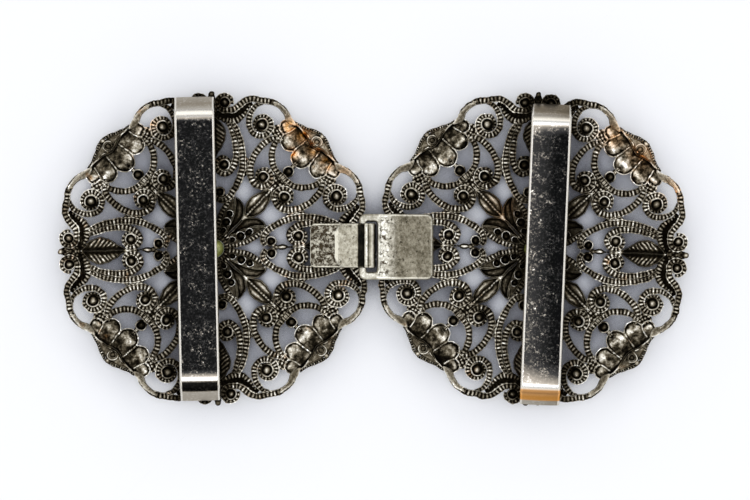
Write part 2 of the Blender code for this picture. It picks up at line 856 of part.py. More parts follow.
def make_eye_plate(material):
    """The slotted plate: level at the slot, then bent down to the dish of the medallion."""
    low = hook_level() + HOOK_THICKNESS / 2 + EYE_HOOK_GAP
    end = EYE_START + EYE_LENGTH
    seat = back_level(CENTRE_DISTANCE / 2 - end) + SEAT_GAP
    bend = EYE_START + EYE_LEVEL_LENGTH
    fall = (low - seat) / (end - bend - EYE_BEND_LENGTH / 2)
    slot_x = EYE_START + EYE_CROSSBAR
    slot_half = HOOK_WIDTH / 2 + EYE_SLOT_SIDE_GAP

    def height(x):
        past = min(max(x - bend, 0.0), EYE_BEND_LENGTH)
        return low - fall * (past**2 / (2 * EYE_BEND_LENGTH) + max(0.0, x - bend - EYE_BEND_LENGTH))

    outer = rounded_rectangle(EYE_START, end, EYE_WIDTH / 2, EYE_CORNER)
    slot = rounded_rectangle(slot_x, slot_x + EYE_SLOT_LENGTH, slot_half, 0.2 * MM, 2)
    lines = [
        ((bend + EYE_BEND_LENGTH * k / 4, -EYE_WIDTH), (bend + EYE_BEND_LENGTH * k / 4, EYE_WIDTH))
        for k in range(5)
    ]
    points = [(x / MM, y / MM) for x, y in outer + slot]
    edges = [(k, (k + 1) % len(outer)) for k in range(len(outer))]
    first = len(outer)
    edges += [(first + k, first + (k + 1) % len(slot)) for k in range(len(slot))]
    for a, b in lines:
        edges.append((len(points), len(points) + 1))
        points += [(a[0] / MM, a[1] / MM), (b[0] / MM, b[1] / MM)]
    flat, triangles, _ = triangulate(points, edges, [], 0)
    loops = [np.array(outer) / MM, np.array(slot) / MM]
    centres = np.array([flat[list(tri)].mean(axis=0) for tri in triangles])
    triangles = [tri for tri, good in zip(triangles, inside(centres, loops)) if good]
    mesh = bmesh.new()
    upper, lower = {}, {}
    for index in sorted({i for tri in triangles for i in tri}):
        x, y = flat[index] * MM
        upper[index] = mesh.verts.new((x, y, height(x) + EYE_THICKNESS))
        lower[index] = mesh.verts.new((x, y, height(x)))
    for a, b, c in triangles:
        mesh.faces.new((upper[a], upper[b], upper[c]))
        mesh.faces.new((lower[c], lower[b], lower[a]))
    for a, b in border_edges(triangles):
        mesh.faces.new((upper[b], upper[a], lower[a], lower[b]))
    bmesh.ops.recalc_face_normals(mesh, faces=mesh.faces)
    return finished("eye_plate", mesh, material)


def make_stone(name, material):
    seat = FRONT_RELIEF - STONE_GAP
    through = STONE_WINDOW_RADIUS - STONE_GAP
    apex = FRONT_RELIEF + WALL * 0.8
    profile = (
        (0.0, apex),
        (through * 0.6, apex - 0.12 * MM),
        (through, apex - 0.45 * MM),
        (through, seat),
        (STONE_RADIUS, seat),
        (STONE_RADIUS, seat - 0.15 * MM),
        (STONE_TABLE_RADIUS, REST_LEVEL),
        (0.0, REST_LEVEL),
    )
    return make_turned(name, profile, 24, material)


def make_empty(name, location, turn, parent):
    empty = bpy.data.objects.new(name, None)
    empty.empty_display_size = 5 * MM
    empty.location = location
    empty.rotation_euler = (0, 0, turn)
    empty.parent = parent
    bpy.context.scene.collection.objects.link(empty)
    return empty


def put(obj, parent, location=(0, 0, 0), turn=0.0):
    obj.parent = parent
    obj.location = location
    obj.rotation_euler = (0, 0, turn)


def centre_on_base(root):
    """Moves the whole clasp so that the middle of its box's base is the origin."""
    bpy.context.view_layer.update()
    corners = []
    for obj in bpy.context.scene.objects:
        if obj.type == "MESH":
            corners += [obj.matrix_world @ vertex.co for vertex in obj.data.vertices]
    low = [min(c[i] for c in corners) for i in range(3)]
    high = [max(c[i] for c in corners) for i in range(3)]
    root.location = (-(low[0] + high[0]) / 2, -(low[1] + high[1]) / 2, -low[2])
    bpy.context.view_layer.update()


def main():
    for obj in list(bpy.data.objects):
        bpy.data.objects.remove(obj, do_unlink=True)
    metal = make_material("patinated_filigree", METAL)
    steel = make_material("dark_steel", STEEL)
    bright = make_material("worn_steel", BRIGHT)
    glass = make_material("yellow_green_stone", STONE)

    root = make_empty("apron_clasp", (0, 0, 0), 0, None)
    halves = (
        ("left", -1, LEFT_TURN, LEFT_BAR_OFFSET, 0.0),
        ("right", 1, RIGHT_TURN, RIGHT_BAR_OFFSET, -RIGHT_BAR_DROP),
    )
    for side, sign, turn, offset, drop in halves:
        place = (sign * CENTRE_DISTANCE / 2, 0, 0)
        half = make_empty(side + "_half", place, turn, root)
        medallion = make_medallion("medallion_" + side, metal)
        put(medallion, half, turn=0.0 if sign < 0 else math.pi)
        put(make_stone("stone_" + side, glass), half)
        bar = make_bar("ribbon_bar_" + side, steel)
        put(bar, half, (sign * offset, drop, 0), math.pi / 2 + BAR_EXTRA_TURN)
    put(make_hook(bright), root, (0, HOOK_SIDE_SHIFT, 0))
    put(make_eye_plate(bright), root, (0, EYE_SIDE_SHIFT, 0))
    centre_on_base(root)


main()
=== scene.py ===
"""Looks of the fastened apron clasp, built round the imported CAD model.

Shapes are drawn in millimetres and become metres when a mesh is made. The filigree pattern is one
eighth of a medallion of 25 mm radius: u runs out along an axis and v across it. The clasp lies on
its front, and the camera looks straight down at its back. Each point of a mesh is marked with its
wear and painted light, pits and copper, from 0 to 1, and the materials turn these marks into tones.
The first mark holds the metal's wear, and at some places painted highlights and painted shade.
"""

import math
from collections import namedtuple

import bpy
import numpy as np
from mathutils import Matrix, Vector
from mathutils.geometry import delaunay_2d_cdt


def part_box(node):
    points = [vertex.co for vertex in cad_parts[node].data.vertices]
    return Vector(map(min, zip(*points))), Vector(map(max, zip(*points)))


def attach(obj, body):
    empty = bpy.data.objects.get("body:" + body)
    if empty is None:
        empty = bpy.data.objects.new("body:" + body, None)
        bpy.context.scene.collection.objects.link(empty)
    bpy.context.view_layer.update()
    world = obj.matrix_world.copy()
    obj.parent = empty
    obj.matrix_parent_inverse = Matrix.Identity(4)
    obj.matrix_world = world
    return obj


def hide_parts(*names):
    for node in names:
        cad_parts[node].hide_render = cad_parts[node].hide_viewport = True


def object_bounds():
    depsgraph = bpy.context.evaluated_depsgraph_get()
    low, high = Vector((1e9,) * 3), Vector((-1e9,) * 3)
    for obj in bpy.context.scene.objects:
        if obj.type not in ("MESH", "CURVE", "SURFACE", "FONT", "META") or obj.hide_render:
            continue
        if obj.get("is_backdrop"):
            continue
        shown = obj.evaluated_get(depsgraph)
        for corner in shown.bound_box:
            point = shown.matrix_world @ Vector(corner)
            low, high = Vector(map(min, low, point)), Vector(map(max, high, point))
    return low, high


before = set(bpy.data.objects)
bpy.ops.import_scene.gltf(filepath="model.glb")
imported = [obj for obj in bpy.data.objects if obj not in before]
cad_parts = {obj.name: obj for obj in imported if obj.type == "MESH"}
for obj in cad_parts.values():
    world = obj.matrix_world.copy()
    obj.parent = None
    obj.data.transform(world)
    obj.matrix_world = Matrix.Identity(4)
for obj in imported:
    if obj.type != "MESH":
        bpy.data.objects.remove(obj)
CAD_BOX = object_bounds()

MM = 0.001
SIDES = ("left", "right")

# Medallions, as the CAD model has them
RADIUS = 25.0
MEDALLION_GAP = 0.5
TURN = {"left": math.radians(1.3), "right": math.radians(-2.3)}
FLIP = {"left": 0.0, "right": math.pi}
DISH_RISE = 3.4
DISH_POWER = 2.6
WALL = 0.9
FRONT_RELIEF = 0.6
SEAT_GAP = 0.3

# Ribbon bars, hook and eye plate, as the CAD model has them
BAR_WIDTH = 6.4
BAR_LENGTH = 47.8
BAR_FLAT_LENGTH = 41.4
BAR_THICKNESS = 0.8
BAR_CLEAR_HEIGHT = 3.5
BAR_BEND_RADIUS = 2.0
HOOK_WIDTH = 7.05
HOOK_THICKNESS = 0.5
HOOK_PLATE_END = -9.95
HOOK_TONGUE_END = -6.0
HOOK_STEP_START = -2.4
HOOK_STEP_END = -1.4
HOOK_BEND_RADIUS = 1.3
HOOK_PLATE_CORNER = 0.7
HOOK_TONGUE_CORNER = 1.5
HOOK_TONGUE_GAP = 0.15
HOOK_STEP_DROP = 0.5
HOOK_LEVEL_LENGTH = 3.0
HOOK_SIDE_SHIFT = 0.5
EYE_LENGTH = 11.8
EYE_WIDTH = 10.45
EYE_THICKNESS = 0.5
EYE_START = -2.25
EYE_CORNER = 1.0
EYE_CROSSBAR = 1.15
EYE_SLOT_LENGTH = 1.65
EYE_SLOT_SIDE_GAP = 0.45
EYE_LEVEL_LENGTH = 5.3
EYE_BEND_LENGTH = 1.2
EYE_SIDE_SHIFT = 0.3
EYE_HOOK_GAP = 0.25

# Finer shapes of the steel pieces, which only the scene has
BAR_EDGE = 0.33
BAR_CROWN = 0.06
BAR_FOOT_RISE = 0.3
BAR_BEND_MARGIN = 2.2
HOOK_EDGE = 0.2
HOOK_LIP = 0.04
LIP_WIDTH = 0.25
FACE_SHARE = 0.97
EYE_EDGE = 0.3
EYE_EDGE_DROP = 0.2
EYE_LIP = 0.06
EYE_SLOT_CORNER = 0.2

# In the photo the bars' feet stand a little further in than in the CAD model
BAR_TRIM = {"left": 0.1, "right": 0.35}

# The roll of the hook is a little fuller than in the CAD model. Rows are (angle, wear and painted
# light):
# the tones paint a highlight on the roll, shade on its sides, and a dark crease beside a bright
# line.
HOOK_FULLNESS = 0.4
HOOK_BEND_PAINTED_LIGHT = (
    (-90, 0.4), (-10, 0.0), (24, 0.02), (34, 0.5), (41, 0.95), (50, 0.95), (58, 0.68), (66, 0.6),
    (69, 0.25), (73, 0.2), (76, 0.8), (90, 0.85),
)

# Cast relief: rails along the edges of each band, and round ribs with dark slits between them
RAIL = 0.22
RAIL_HEIGHT = 0.1
RAIL_FOOT = -0.12
RIB_PITCH = 0.6
RIB_SHAPE = (0.8, 1.0, 0.85, 0.35, 0.1, 0.35)
RIB_STRENGTH = (0.6, 1.0)
SLIT_DEPTH = 0.3
SCALLOP = 0.07
SIDE_DEPTH = 0.5
CURL_STEP_DEG = 24
SMALLEST_WIDTH = 0.2
EYE_DIP_ANGLE = 4.2
BEAD_STEPS = 5
CUSHION = 0.3
THIN_CUSHION = 0.1
SCOOP_CUSHION = 0.35
CUSHION_REACH = 0.35
VEIN_PITCH = 0.7
VEIN_SLANT = 0.75
MIDRIB = 0.12
WEB_CELL = 0.85
WEB_SKEW = 0.3
STEM_BEAD_MIDDLE = 10.7
STEM_BEAD_HALF = (0.72, 0.27)

# The pointed corner: the rail outside its scoops bulges in round the corner's eye
APEX_DROP = 0.5
OUTER_LINE = 23.2
OUTER_BULGE = 0.55
OUTER_BULGE_REACH = 1.25
OUTER_HALF_LENGTH = 4.75
OUTER_WIDTH = 1.0
RAY_LENGTH = 7.5
RAYS = 120

# Unevenness of the casting: (size, wavelength) of two ripples in height and one in each direction
RIPPLE_WAVES = 7
RIPPLE_PEAK = 2.6
RIPPLES = ((0.03, 0.9), (0.05, 4.0), (0.04, 1.7), (0.04, 1.7))
SIDE_SEED = {"left": 0, "right": 100}
LOWEST = 0.02

# Rows of a route are (u, v, width), and corners of an outline are (u, v). The ring of an eye
# lies between the radii pit and ring. The ring of a bead is its radius, and the pit its height.
Curl = namedtuple("Curl", "u v outer last pit first_deg sweep_deg")
Band = namedtuple("Band", "lift pitch rails route curl", defaults=(None,))
Eye = namedtuple("Eye", "lift u v ring pit shine dip", defaults=(0.0,))
Web = namedtuple("Web", "depth shine outline")
Scoop = namedtuple("Scoop", "u v radius turn_deg length depth")
Spot = namedtuple("Spot", "x y reach strength")

RIM_BANDS = (
    # rim
    Band(
        0.0, RIB_PITCH, (0.8, 1.6),
        (
            (20.6, 12.35, 0.8), (21.45, 11.8, 0.95), (22.35, 10.95, 1.0), (22.95, 10.0, 1.05),
            (23.25, 9.0, 1.1), (23.35, 8.0, 1.15), (23.6, 7.0, 1.15), (23.65, 6.1, 1.1),
            (23.3, 5.2, 1.15), (22.65, 4.35, 1.2), (22.05, 3.5, 1.15),
        ),
        Curl(23.2, 2.1, 1.8, 1.5, 0.8, 165, 300),
    ),
    # rim curl
    Band(
        -0.05, 0.54, (1.0, 1.2),
        (
            (23.0, 8.1, 0.7), (22.6, 7.1, 0.9), (21.8, 6.4, 1.0), (20.8, 5.95, 1.05),
        ),
        Curl(19.55, 7.9, 2.58, 1.1, 1.0, -85, -500),
    ),
    # petal
    Band(
        -0.12, 0.56, (-3.0, 0.8),
        (
            (22.6, 6.0, 0.4), (21.75, 5.35, 0.85), (20.9, 4.6, 1.2), (20.35, 3.7, 1.35),
            (20.3, 2.8, 1.35), (20.6, 1.8, 1.15), (21.1, 0.8, 0.7), (21.35, 0.15, 0.4),
        ),
    ),
    # apex edge
    Band(
        -APEX_DROP, 0.42, (1.0, 0.6),
        (
            (19.9, 13.15, 0.4), (19.3, 13.95, 0.5), (18.85, 14.9, 0.55), (18.5, 15.85, 0.55),
            (18.1, 16.85, 0.5), (17.75, 17.5, 0.4),
        ),
    ),
)
SCROLL_BANDS = (
    # inner lyre
    Band(
        -0.04, RIB_PITCH, (1.2, 0.8),
        (
            (19.9, 2.5, 0.6), (18.6, 3.15, 1.1), (17.3, 3.55, 1.2), (15.9, 3.72, 1.2),
            (14.6, 3.7, 1.2), (13.4, 3.4, 1.2), (12.45, 2.85, 1.2),
        ),
        Curl(13.35, 1.75, 2.05, 1.0, 0.9, 160, 390),
    ),
    # outer lyre
    Band(
        0.02, RIB_PITCH, (1.0, 1.2),
        (
            (20.0, 3.25, 0.7), (18.9, 3.8, 1.1), (17.6, 4.25, 1.15), (16.2, 4.55, 1.15),
            (14.7, 4.7, 1.2), (13.2, 4.7, 1.2), (11.8, 4.42, 1.2), (10.5, 3.9, 1.2),
            (9.3, 3.25, 1.15), (8.3, 2.55, 1.1), (7.7, 1.75, 1.0), (7.65, 1.0, 0.95),
            (8.1, 0.3, 0.85),
        ),
    ),
    # pod edge
    Band(
        -0.02, 0.56, (0.6, 0.6),
        (
            (7.6, 2.5, 0.85), (6.5, 1.75, 1.0), (5.6, 1.2, 1.0), (4.6, 0.8, 0.95),
            (3.4, 0.55, 0.95), (2.2, 0.4, 0.95),
        ),
    ),
    # heart
    Band(
        0.03, RIB_PITCH, (0.8, 0.9),
        (
            (17.4, 10.6, 0.85), (16.4, 9.85, 1.1), (15.2, 9.45, 1.15), (13.9, 9.4, 1.15),
            (12.8, 9.65, 1.15), (11.85, 10.25, 1.1), (10.9, 11.2, 1.1),
        ),
    ),
    # heart curl
    Band(
        -0.02, RIB_PITCH, (1.0, 0.8),
        (
            (17.5, 10.4, 0.85), (17.15, 9.1, 1.15), (16.45, 8.05, 1.2), (15.5, 7.15, 1.2),
            (14.5, 6.5, 1.2), (13.35, 6.0, 1.2), (12.1, 5.85, 1.2), (11.0, 6.05, 1.2),
            (10.15, 6.6, 1.2),
        ),
        Curl(11.25, 7.95, 2.15, 1.02, 0.92, 200, -400),
    ),
)
STEM = Band(0.0, 0.5, (1.0, 1.0), ((14.1, 0, 0.34), (11.5, 0, 0.3)))

# Eyes that repeat eight times, and eyes that repeat four times
EYES = (
    Eye(0.04, 19.55, 7.9, 1.12, 0.85, 0.8, 0.8),  # rim eye
    Eye(0.03, 11.25, 7.95, 1.02, 0.74, 0.6, 0.8),  # curl eye
    Eye(0.03, 13.35, 1.75, 1.0, 0.72, 0.62, 0.8),  # lyre eye
    Eye(-0.05, 9.0, 0.97, 0.88, 0.62, 0.3, 0.6),  # small eye
    Eye(0.02, 23.2, 2.1, 0.98, 0.74, 0.7, 0.6),  # corner eye
)
PITS = (
    Eye(0.0, 2.8, 1.35, 0.56, 0.42, 0.25, 0.7),  # pit inner
    Eye(0.0, 4.15, 1.9, 0.8, 0.62, 0.3, 0.7),  # pit middle
    Eye(0.0, 5.5, 2.5, 0.66, 0.5, 0.3, 0.7),  # pit outer
)
SINGLE_EYES = (
    Eye(0.0, 12.0, 12.0, 0.95, 0.72, 0.45, 0.7),  # heart bead
    Eye(-0.35, 16.6, 16.6, 0.95, 0.68, 0.5, 0.8),  # apex bead
)
TIP_BEAD = Eye(-0.1, 24.55, 0.0, 0.45, 0.3, 0.9)
APEX_TIP = Eye(-0.5, 17.45, 17.45, 0.42, 0.2, 0.9)

SCOOPS = (
    Scoop(14.1, 14.1, 1.72, 45, 2.9, 0.62),
    Scoop(16.72, 12.3, 1.55, 58, 2.3, 0.55),
    Scoop(19.05, 11.8, 1.15, 58, 1.4, 0.42),
)
AXIS_LEAF = (
    (21.4, 0.0), (20.8, 0.75), (20.0, 1.5), (19.2, 2.0), (18.2, 2.2), (17.1, 2.0), (16.1, 1.45),
    (15.1, 0.8), (14.2, 0.3), (13.4, 0.0),
)
DIAGONAL_LEAF = (
    (4.4, 4.4), (5.3, 4.75), (6.4, 4.95), (7.4, 5.3), (8.2, 6.1), (8.75, 7.0), (9.1, 8.0),
    (9.45, 9.45),
)
SICKLE_LEAF = (
    (1.7, 1.55), (3.3, 3.2), (4.6, 4.5), (5.6, 4.8), (6.6, 4.8), (7.4, 4.45), (7.95, 3.95),
    (8.2, 3.3), (7.2, 3.4), (5.9, 3.25), (4.6, 2.85), (3.4, 2.3), (2.3, 1.7),
)
POD = (
    (1.8, 0.75), (2.3, 1.7), (3.4, 2.3), (4.6, 2.85), (5.9, 3.25), (7.2, 3.4), (8.2, 3.15),
    (7.4, 2.65), (6.4, 2.0), (5.4, 1.45), (4.5, 1.05), (3.4, 0.75),
)
APEX = (
    (15.85, 15.85), (16.6, 15.25), (17.4, 15.0), (18.5, 14.2), (19.5, 13.2), (19.7, 13.3),
    (19.1, 14.2), (18.65, 15.2), (18.15, 16.35), (17.5, 17.5),
)
SHOULDER = (
    (19.3, 13.35), (20.2, 12.95), (21.1, 12.4), (22.0, 11.7), (22.75, 10.8), (23.2, 9.8),
    (22.6, 10.0), (21.9, 10.75), (21.1, 11.35), (20.3, 11.6), (19.6, 12.2),
)
STEM_BEAD = (
    (11.9, 0.0), (11.5, 0.2), (11.1, 0.4), (10.7, 0.46), (10.3, 0.4), (9.9, 0.22), (9.5, 0.0),
)
WEBS = (
    Web(
        0.5, 0.1,
        (
            (22.6, 6.7), (23.3, 6.3), (23.2, 5.1), (22.2, 3.9), (22.0, 3.0), (22.0, 0.9),
            (20.9, -0.2), (20.4, 1.5), (20.2, 3.0), (20.8, 4.3), (21.8, 5.4),
        ),
    ),
    Web(
        0.3, 0.5,
        (
            (22.0, 0.9), (23.2, 0.9), (24.6, 0.4), (24.6, -0.2), (20.9, -0.2),
        ),
    ),
    Web(
        0.2, 0.8,
        (
            (16.7, 11.2), (18.3, 11.5), (19.5, 10.9), (19.5, 10.0), (18.2, 9.4), (17.0, 9.9),
            (16.5, 10.3),
        ),
    ),
    Web(0.25, 0.7, ((12.4, 12.7), (13.6, 13.9), (13.8, 13.4), (12.8, 12.2))),
    Web(0.3, 0.6, ((11.0, 4.6), (14.8, 5.0), (13.9, 6.0), (11.8, 5.5))),
    Web(0.3, 0.5, ((8.9, 8.3), (9.6, 7.4), (10.0, 9.2), (9.3, 9.5))),
    Web(0.3, 0.5, ((7.2, 2.5), (7.6, 1.0), (8.5, 1.3), (8.8, 3.1))),
    Web(0.25, 0.6, ((9.2, -0.2), (9.2, 0.6), (10.4, 0.25), (10.4, -0.2))),
    Web(
        0.25, 0.75,
        (
            (9.3, 9.4), (9.5, 9.0), (10.2, 9.3), (11.3, 9.6), (12.2, 9.8), (11.3, 10.6),
            (10.8, 10.9),
        ),
    ),
)

# Stone setting
GROUND_DEPTH = 0.3
GROUND_RADIUS = 2.95
WINDOW_RADIUS = {"left": 1.5, "right": 1.2}
BEZEL_RADIUS = 2.25
BEZEL_HEIGHT = 0.2
BEZEL_CHAMFER = 0.15
BEZEL_TEETH = 24
FRONT_BEZEL = (2.3, 2.4, 2.75)
FRONT_BEZEL_HEIGHT = 0.5

# Rows of (distance from a bar's middle towards the top of the photo, wear and painted light, pits,
# copper).
# The dark flat face is the bars' own finish. The bright lines at the bends, with a soft glow beside
# them, are painted highlights, and the light tone of the legs is a painted reflection. The left bar
# has a dark band on its lower leg, and the right bar's copper band is copper showing through.
BAR_TONES_AND_PAINTED_LIGHT = {
    "left": (
        (-23.9, 0.68, 0.2, 0.0), (-22.3, 0.7, 0.2, 0.0), (-22.15, 0.03, 0.7, 0.0),
        (-21.1, 0.03, 0.7, 0.0), (-20.95, 0.9, 0.1, 0.0), (-20.6, 0.98, 0.1, 0.0),
        (-20.3, 0.6, 0.5, 0.0), (-19.2, 0.02, 1.0, 0.0), (20.3, 0.02, 1.0, 0.0),
        (20.8, 0.6, 0.3, 0.0), (21.2, 0.95, 0.1, 0.0), (21.6, 1.0, 0.1, 0.0),
        (21.9, 0.72, 0.2, 0.0), (22.6, 0.64, 0.2, 0.0), (23.9, 0.7, 0.2, 0.0),
    ),
    "right": (
        (-23.9, 0.68, 0.2, 0.0), (-22.9, 0.68, 0.2, 0.0), (-22.8, 0.78, 0.1, 1.0),
        (-21.4, 0.72, 0.1, 1.0), (-21.2, 0.9, 0.1, 0.0), (-20.9, 0.98, 0.1, 0.0),
        (-20.5, 0.6, 0.3, 0.0), (-19.3, 0.42, 0.6, 0.0), (-17.0, 0.1, 1.0, 0.0),
        (0.0, 0.03, 1.0, 0.0), (18.8, 0.06, 1.0, 0.0), (20.2, 0.4, 0.6, 0.0),
        (20.8, 0.85, 0.1, 0.0), (21.2, 0.98, 0.1, 0.0), (21.6, 0.7, 0.2, 0.0),
        (22.4, 0.54, 0.3, 0.0), (23.9, 0.6, 0.3, 0.0),
    ),
}
# Painted reflection: the pitted face is painted lighter towards one side and darker towards the
# other
BAR_PAINTED_SIDE_LIGHT = {"left": 0.0, "right": 0.2}

# Painted shade of the bars' shadows, darkening the metal on both sides of a bar
BAR_PAINTED_SHADE = 0.4
BAR_PAINTED_SHADE_REACH = 1.6

# Places where the copper under the finish shows, from the middle of each medallion
COPPER = {
    "left": (
        Spot(12.0, 19.4, 1.4, 1.0), Spot(13.9, 17.9, 1.5, 1.0), Spot(15.8, 15.9, 1.5, 1.0),
        Spot(17.9, 13.8, 1.4, 1.0), Spot(12.2, 15.0, 1.2, 0.9), Spot(-10.5, 20.0, 1.5, 0.5),
        Spot(20.5, 12.0, 1.5, 0.5),
    ),
    "right": (
        Spot(13.0, 18.0, 2.5, 0.6), Spot(17.0, 14.5, 2.5, 0.6), Spot(-4.5, 6.5, 2.5, 0.45),
        Spot(22.5, 9.5, 2.0, 0.5),
    ),
}


def dish(radius):
    """Height of the dish at a distance from a medallion's axis."""
    return DISH_RISE * (np.asarray(radius) / RADIUS) ** DISH_POWER


def back_level(radius):
    """Height of a medallion's plain back over the floor."""
    return FRONT_RELIEF + WALL + dish(radius)


def smooth(rows, step, closed=False):
    """Points along a Catmull-Rom curve through rows, about one step apart."""
    rows = np.array(rows, float)
    if closed:
        rows = np.vstack([rows[-1], rows, rows[0], rows[1]])
    else:
        rows = np.vstack([2 * rows[0] - rows[1], rows, 2 * rows[-1] - rows[-2]])
    out = []
    for a, b, c, d in zip(rows, rows[1:], rows[2:], rows[3:]):
        count = max(1, round(float(np.linalg.norm((c - b)[:2])) / step))
        t = (np.arange(count) / count)[:, None]
        out.append(
            0.5 * (2 * b + (c - a) * t + (2 * a - 5 * b + 4 * c - d) * t**2)
            + 0.5 * (3 * b - a - 3 * c + d) * t**3
        )
    if not closed:
        out.append(rows[-2:-1])
    return np.vstack(out)


def respaced(points, step):
    """The same line of points at even steps."""
    gaps = np.linalg.norm(np.diff(points[:, :2], axis=0), axis=1)
    reach = np.concatenate([[0.0], np.cumsum(gaps)])
    count = max(2, round(float(reach[-1]) / step))
    at = np.linspace(0.0, reach[-1], count + 1)
    return np.stack([np.interp(at, reach, column) for column in points.T], axis=1)


def normals_of(points):
    """Unit directions to the left of a line of points."""
    along = np.gradient(points[:, :2], axis=0)
    along /= np.linalg.norm(along, axis=1)[:, None] + 1e-12
    return np.stack([-along[:, 1], along[:, 0]], axis=1)


def ease(value, start, end):
    """A smooth step from 0 at start to 1 at end."""
    t = np.clip((value - start) / (end - start), 0.0, 1.0)
    return t * t * (3 - 2 * t)


def ripple(points, wavelength, seed):
    """Smooth seeded unevenness between about -1 and 1."""
    rng = np.random.default_rng(seed)
    total = np.zeros(len(points))
    for _ in range(RIPPLE_WAVES):
        direction = rng.normal(size=2)
        direction *= 2 * np.pi / wavelength * rng.uniform(0.7, 1.4) / np.linalg.norm(direction)
        total += np.sin(points[:, :2] @ direction + rng.uniform(0, 2 * np.pi))
    return total / RIPPLE_PEAK


class Shell:
    """Closed surfaces gathered into one mesh, each point marked with its wear and painted light,
    pits and copper.
    """

    def __init__(self):
        self.points = []
        self.triangles = []
        self.marks = []
        self.total = 0

    def add(self, points, triangles, marks):
        marks = np.asarray(marks, float)
        if marks.ndim == 1:
            marks = np.column_stack([marks, np.zeros((len(marks), 2))])
        self.points.append(points)
        self.triangles.append(outward(points, np.asarray(triangles, int)) + self.total)
        self.marks.append(marks)
        self.total += len(points)

    def joined(self):
        return np.vstack(self.points), np.vstack(self.triangles), np.vstack(self.marks)


def outward(points, triangles):
    """The triangles, turned over if the closed surface faces inwards."""
    middle = points.mean(axis=0)
    a, b, c = (points[triangles[:, k]] - middle for k in range(3))
    return triangles if np.einsum("ij,ij->", a, np.cross(b, c)) > 0 else triangles[:, ::-1]


def tube_triangles(rows, columns, wrapped=False):
    """Triangles between rings of points, closed by a last ring or by two end points."""
    k, j = np.meshgrid(np.arange(rows if wrapped else rows - 1), np.arange(columns), indexing="ij")
    after = (k + 1) % rows
    a, b = k * columns + j, k * columns + (j + 1) % columns
    c, d = after * columns + j, after * columns + (j + 1) % columns
    sides = [np.stack([a, b, d], -1).reshape(-1, 3), np.stack([a, d, c], -1).reshape(-1, 3)]
    if wrapped:
        return np.vstack(sides)
    ring = np.arange(columns)
    turn = (ring + 1) % columns
    first, last, end = rows * columns, rows * columns + 1, (rows - 1) * columns
    caps = [
        np.stack([turn, ring, np.full(columns, first)], -1),
        np.stack([end + ring, end + turn, np.full(columns, last)], -1),
    ]
    return np.vstack(sides + caps)


def band_rows(band):
    """Rows (u, v, width, ridge) along a band. A curl's outer edge rises as it winds in."""
    rows = [(*row, 0.0) for row in band.route]
    if band.curl is None:
        return rows
    curl = band.curl
    count = round(abs(curl.sweep_deg) / CURL_STEP_DEG)
    for k in range(count + 1):
        t = k / count
        lap = t + 360 / abs(curl.sweep_deg)
        outer = curl.outer + (curl.last - curl.outer) * t
        inner = max(curl.pit, curl.outer + (curl.last - curl.outer) * lap) if lap < 1 else curl.pit
        radius = (outer + inner) / 2
        angle = math.radians(curl.first_deg + curl.sweep_deg * t)
        u, v = curl.u + radius * math.cos(angle), curl.v + radius * math.sin(angle)
        rows.append((u, v, max(outer - inner, SMALLEST_WIDTH), t))
    return rows


def rib_rise(ribs, rng):
    """How high the cast metal stands at each step along a row of ribs, from 0 to 1."""
    strength = np.repeat(rng.uniform(*RIB_STRENGTH, ribs), len(RIB_SHAPE))
    return np.tile(RIB_SHAPE, ribs) * strength


def add_band(shell, band, rng):
    """A cast band: a rail along each edge, and round ribs with slits between them."""
    step = band.pitch / len(RIB_SHAPE)
    line = respaced(smooth(band_rows(band), step), step)
    count = len(line)
    half = line[:, 2] / 2
    ridge = ease(line[:, 3], 0.15, 0.55)
    rise = rib_rise(count // len(RIB_SHAPE) + 1, rng)[:count]
    slit = -SLIT_DEPTH * (1 - rise)
    edge = half - SCALLOP * (1 - rise)
    flat = np.zeros(count)
    outside = 0 if band.curl and band.curl.sweep_deg < 0 else 1
    halves = []
    for k, side in enumerate((1, -1)):
        strength = band.rails[k] + (1.1 * ridge if k == outside else -0.4 * ridge)
        wave = 0.9 + 0.1 * np.sin(np.arange(count) * step / 1.3 + rng.uniform(0, 6.3))
        crest = RAIL_HEIGHT * strength + rng.uniform(-0.02, 0.02, count)
        bright = np.sqrt(np.maximum(strength, 0.0)) * (0.6 + 0.46 * rise)
        shine = np.clip(wave * bright, 0.0, 1.0)
        rail = np.minimum(RAIL * np.clip(strength, 0.8, 1.6), 0.5 * half)
        foot = np.minimum(crest, 0.0)
        halves.append(
            [
                (side * edge, flat - SIDE_DEPTH, flat),
                (side * edge, crest - 0.05, 0.85 * shine),
                (side * (half - 0.6 * rail), crest, shine),
                (side * (half - rail), foot - 0.08 + 0.5 * slit, 0.8 * rise**2),
                (side * 0.62 * (half - rail), slit - 0.03 + 0.6 * foot, rise),
            ]
        )
    front = [
        (-0.6 * half, flat - WALL, flat),
        (flat, -WALL - 0.16 - 0.08 * rise, flat + 0.45),
        (0.6 * half, flat - WALL, flat),
    ]
    section = halves[0] + [(flat, slit + 0.02, rise)] + halves[1][::-1] + front
    left = normals_of(line)
    rings = np.empty((count, len(section), 3))
    wear_and_painted_light = np.empty((count, len(section)))
    for k, (offset, height, value) in enumerate(section):
        rings[:, k, :2] = line[:, :2] + left * offset[:, None]
        rings[:, k, 2] = height + band.lift
        wear_and_painted_light[:, k] = value
    points = np.vstack([rings.reshape(-1, 3), rings[0].mean(axis=0), rings[-1].mean(axis=0)])
    shell.add(points, tube_triangles(count, len(section)), np.append(wear_and_painted_light.ravel(), [0.3, 0.3]))


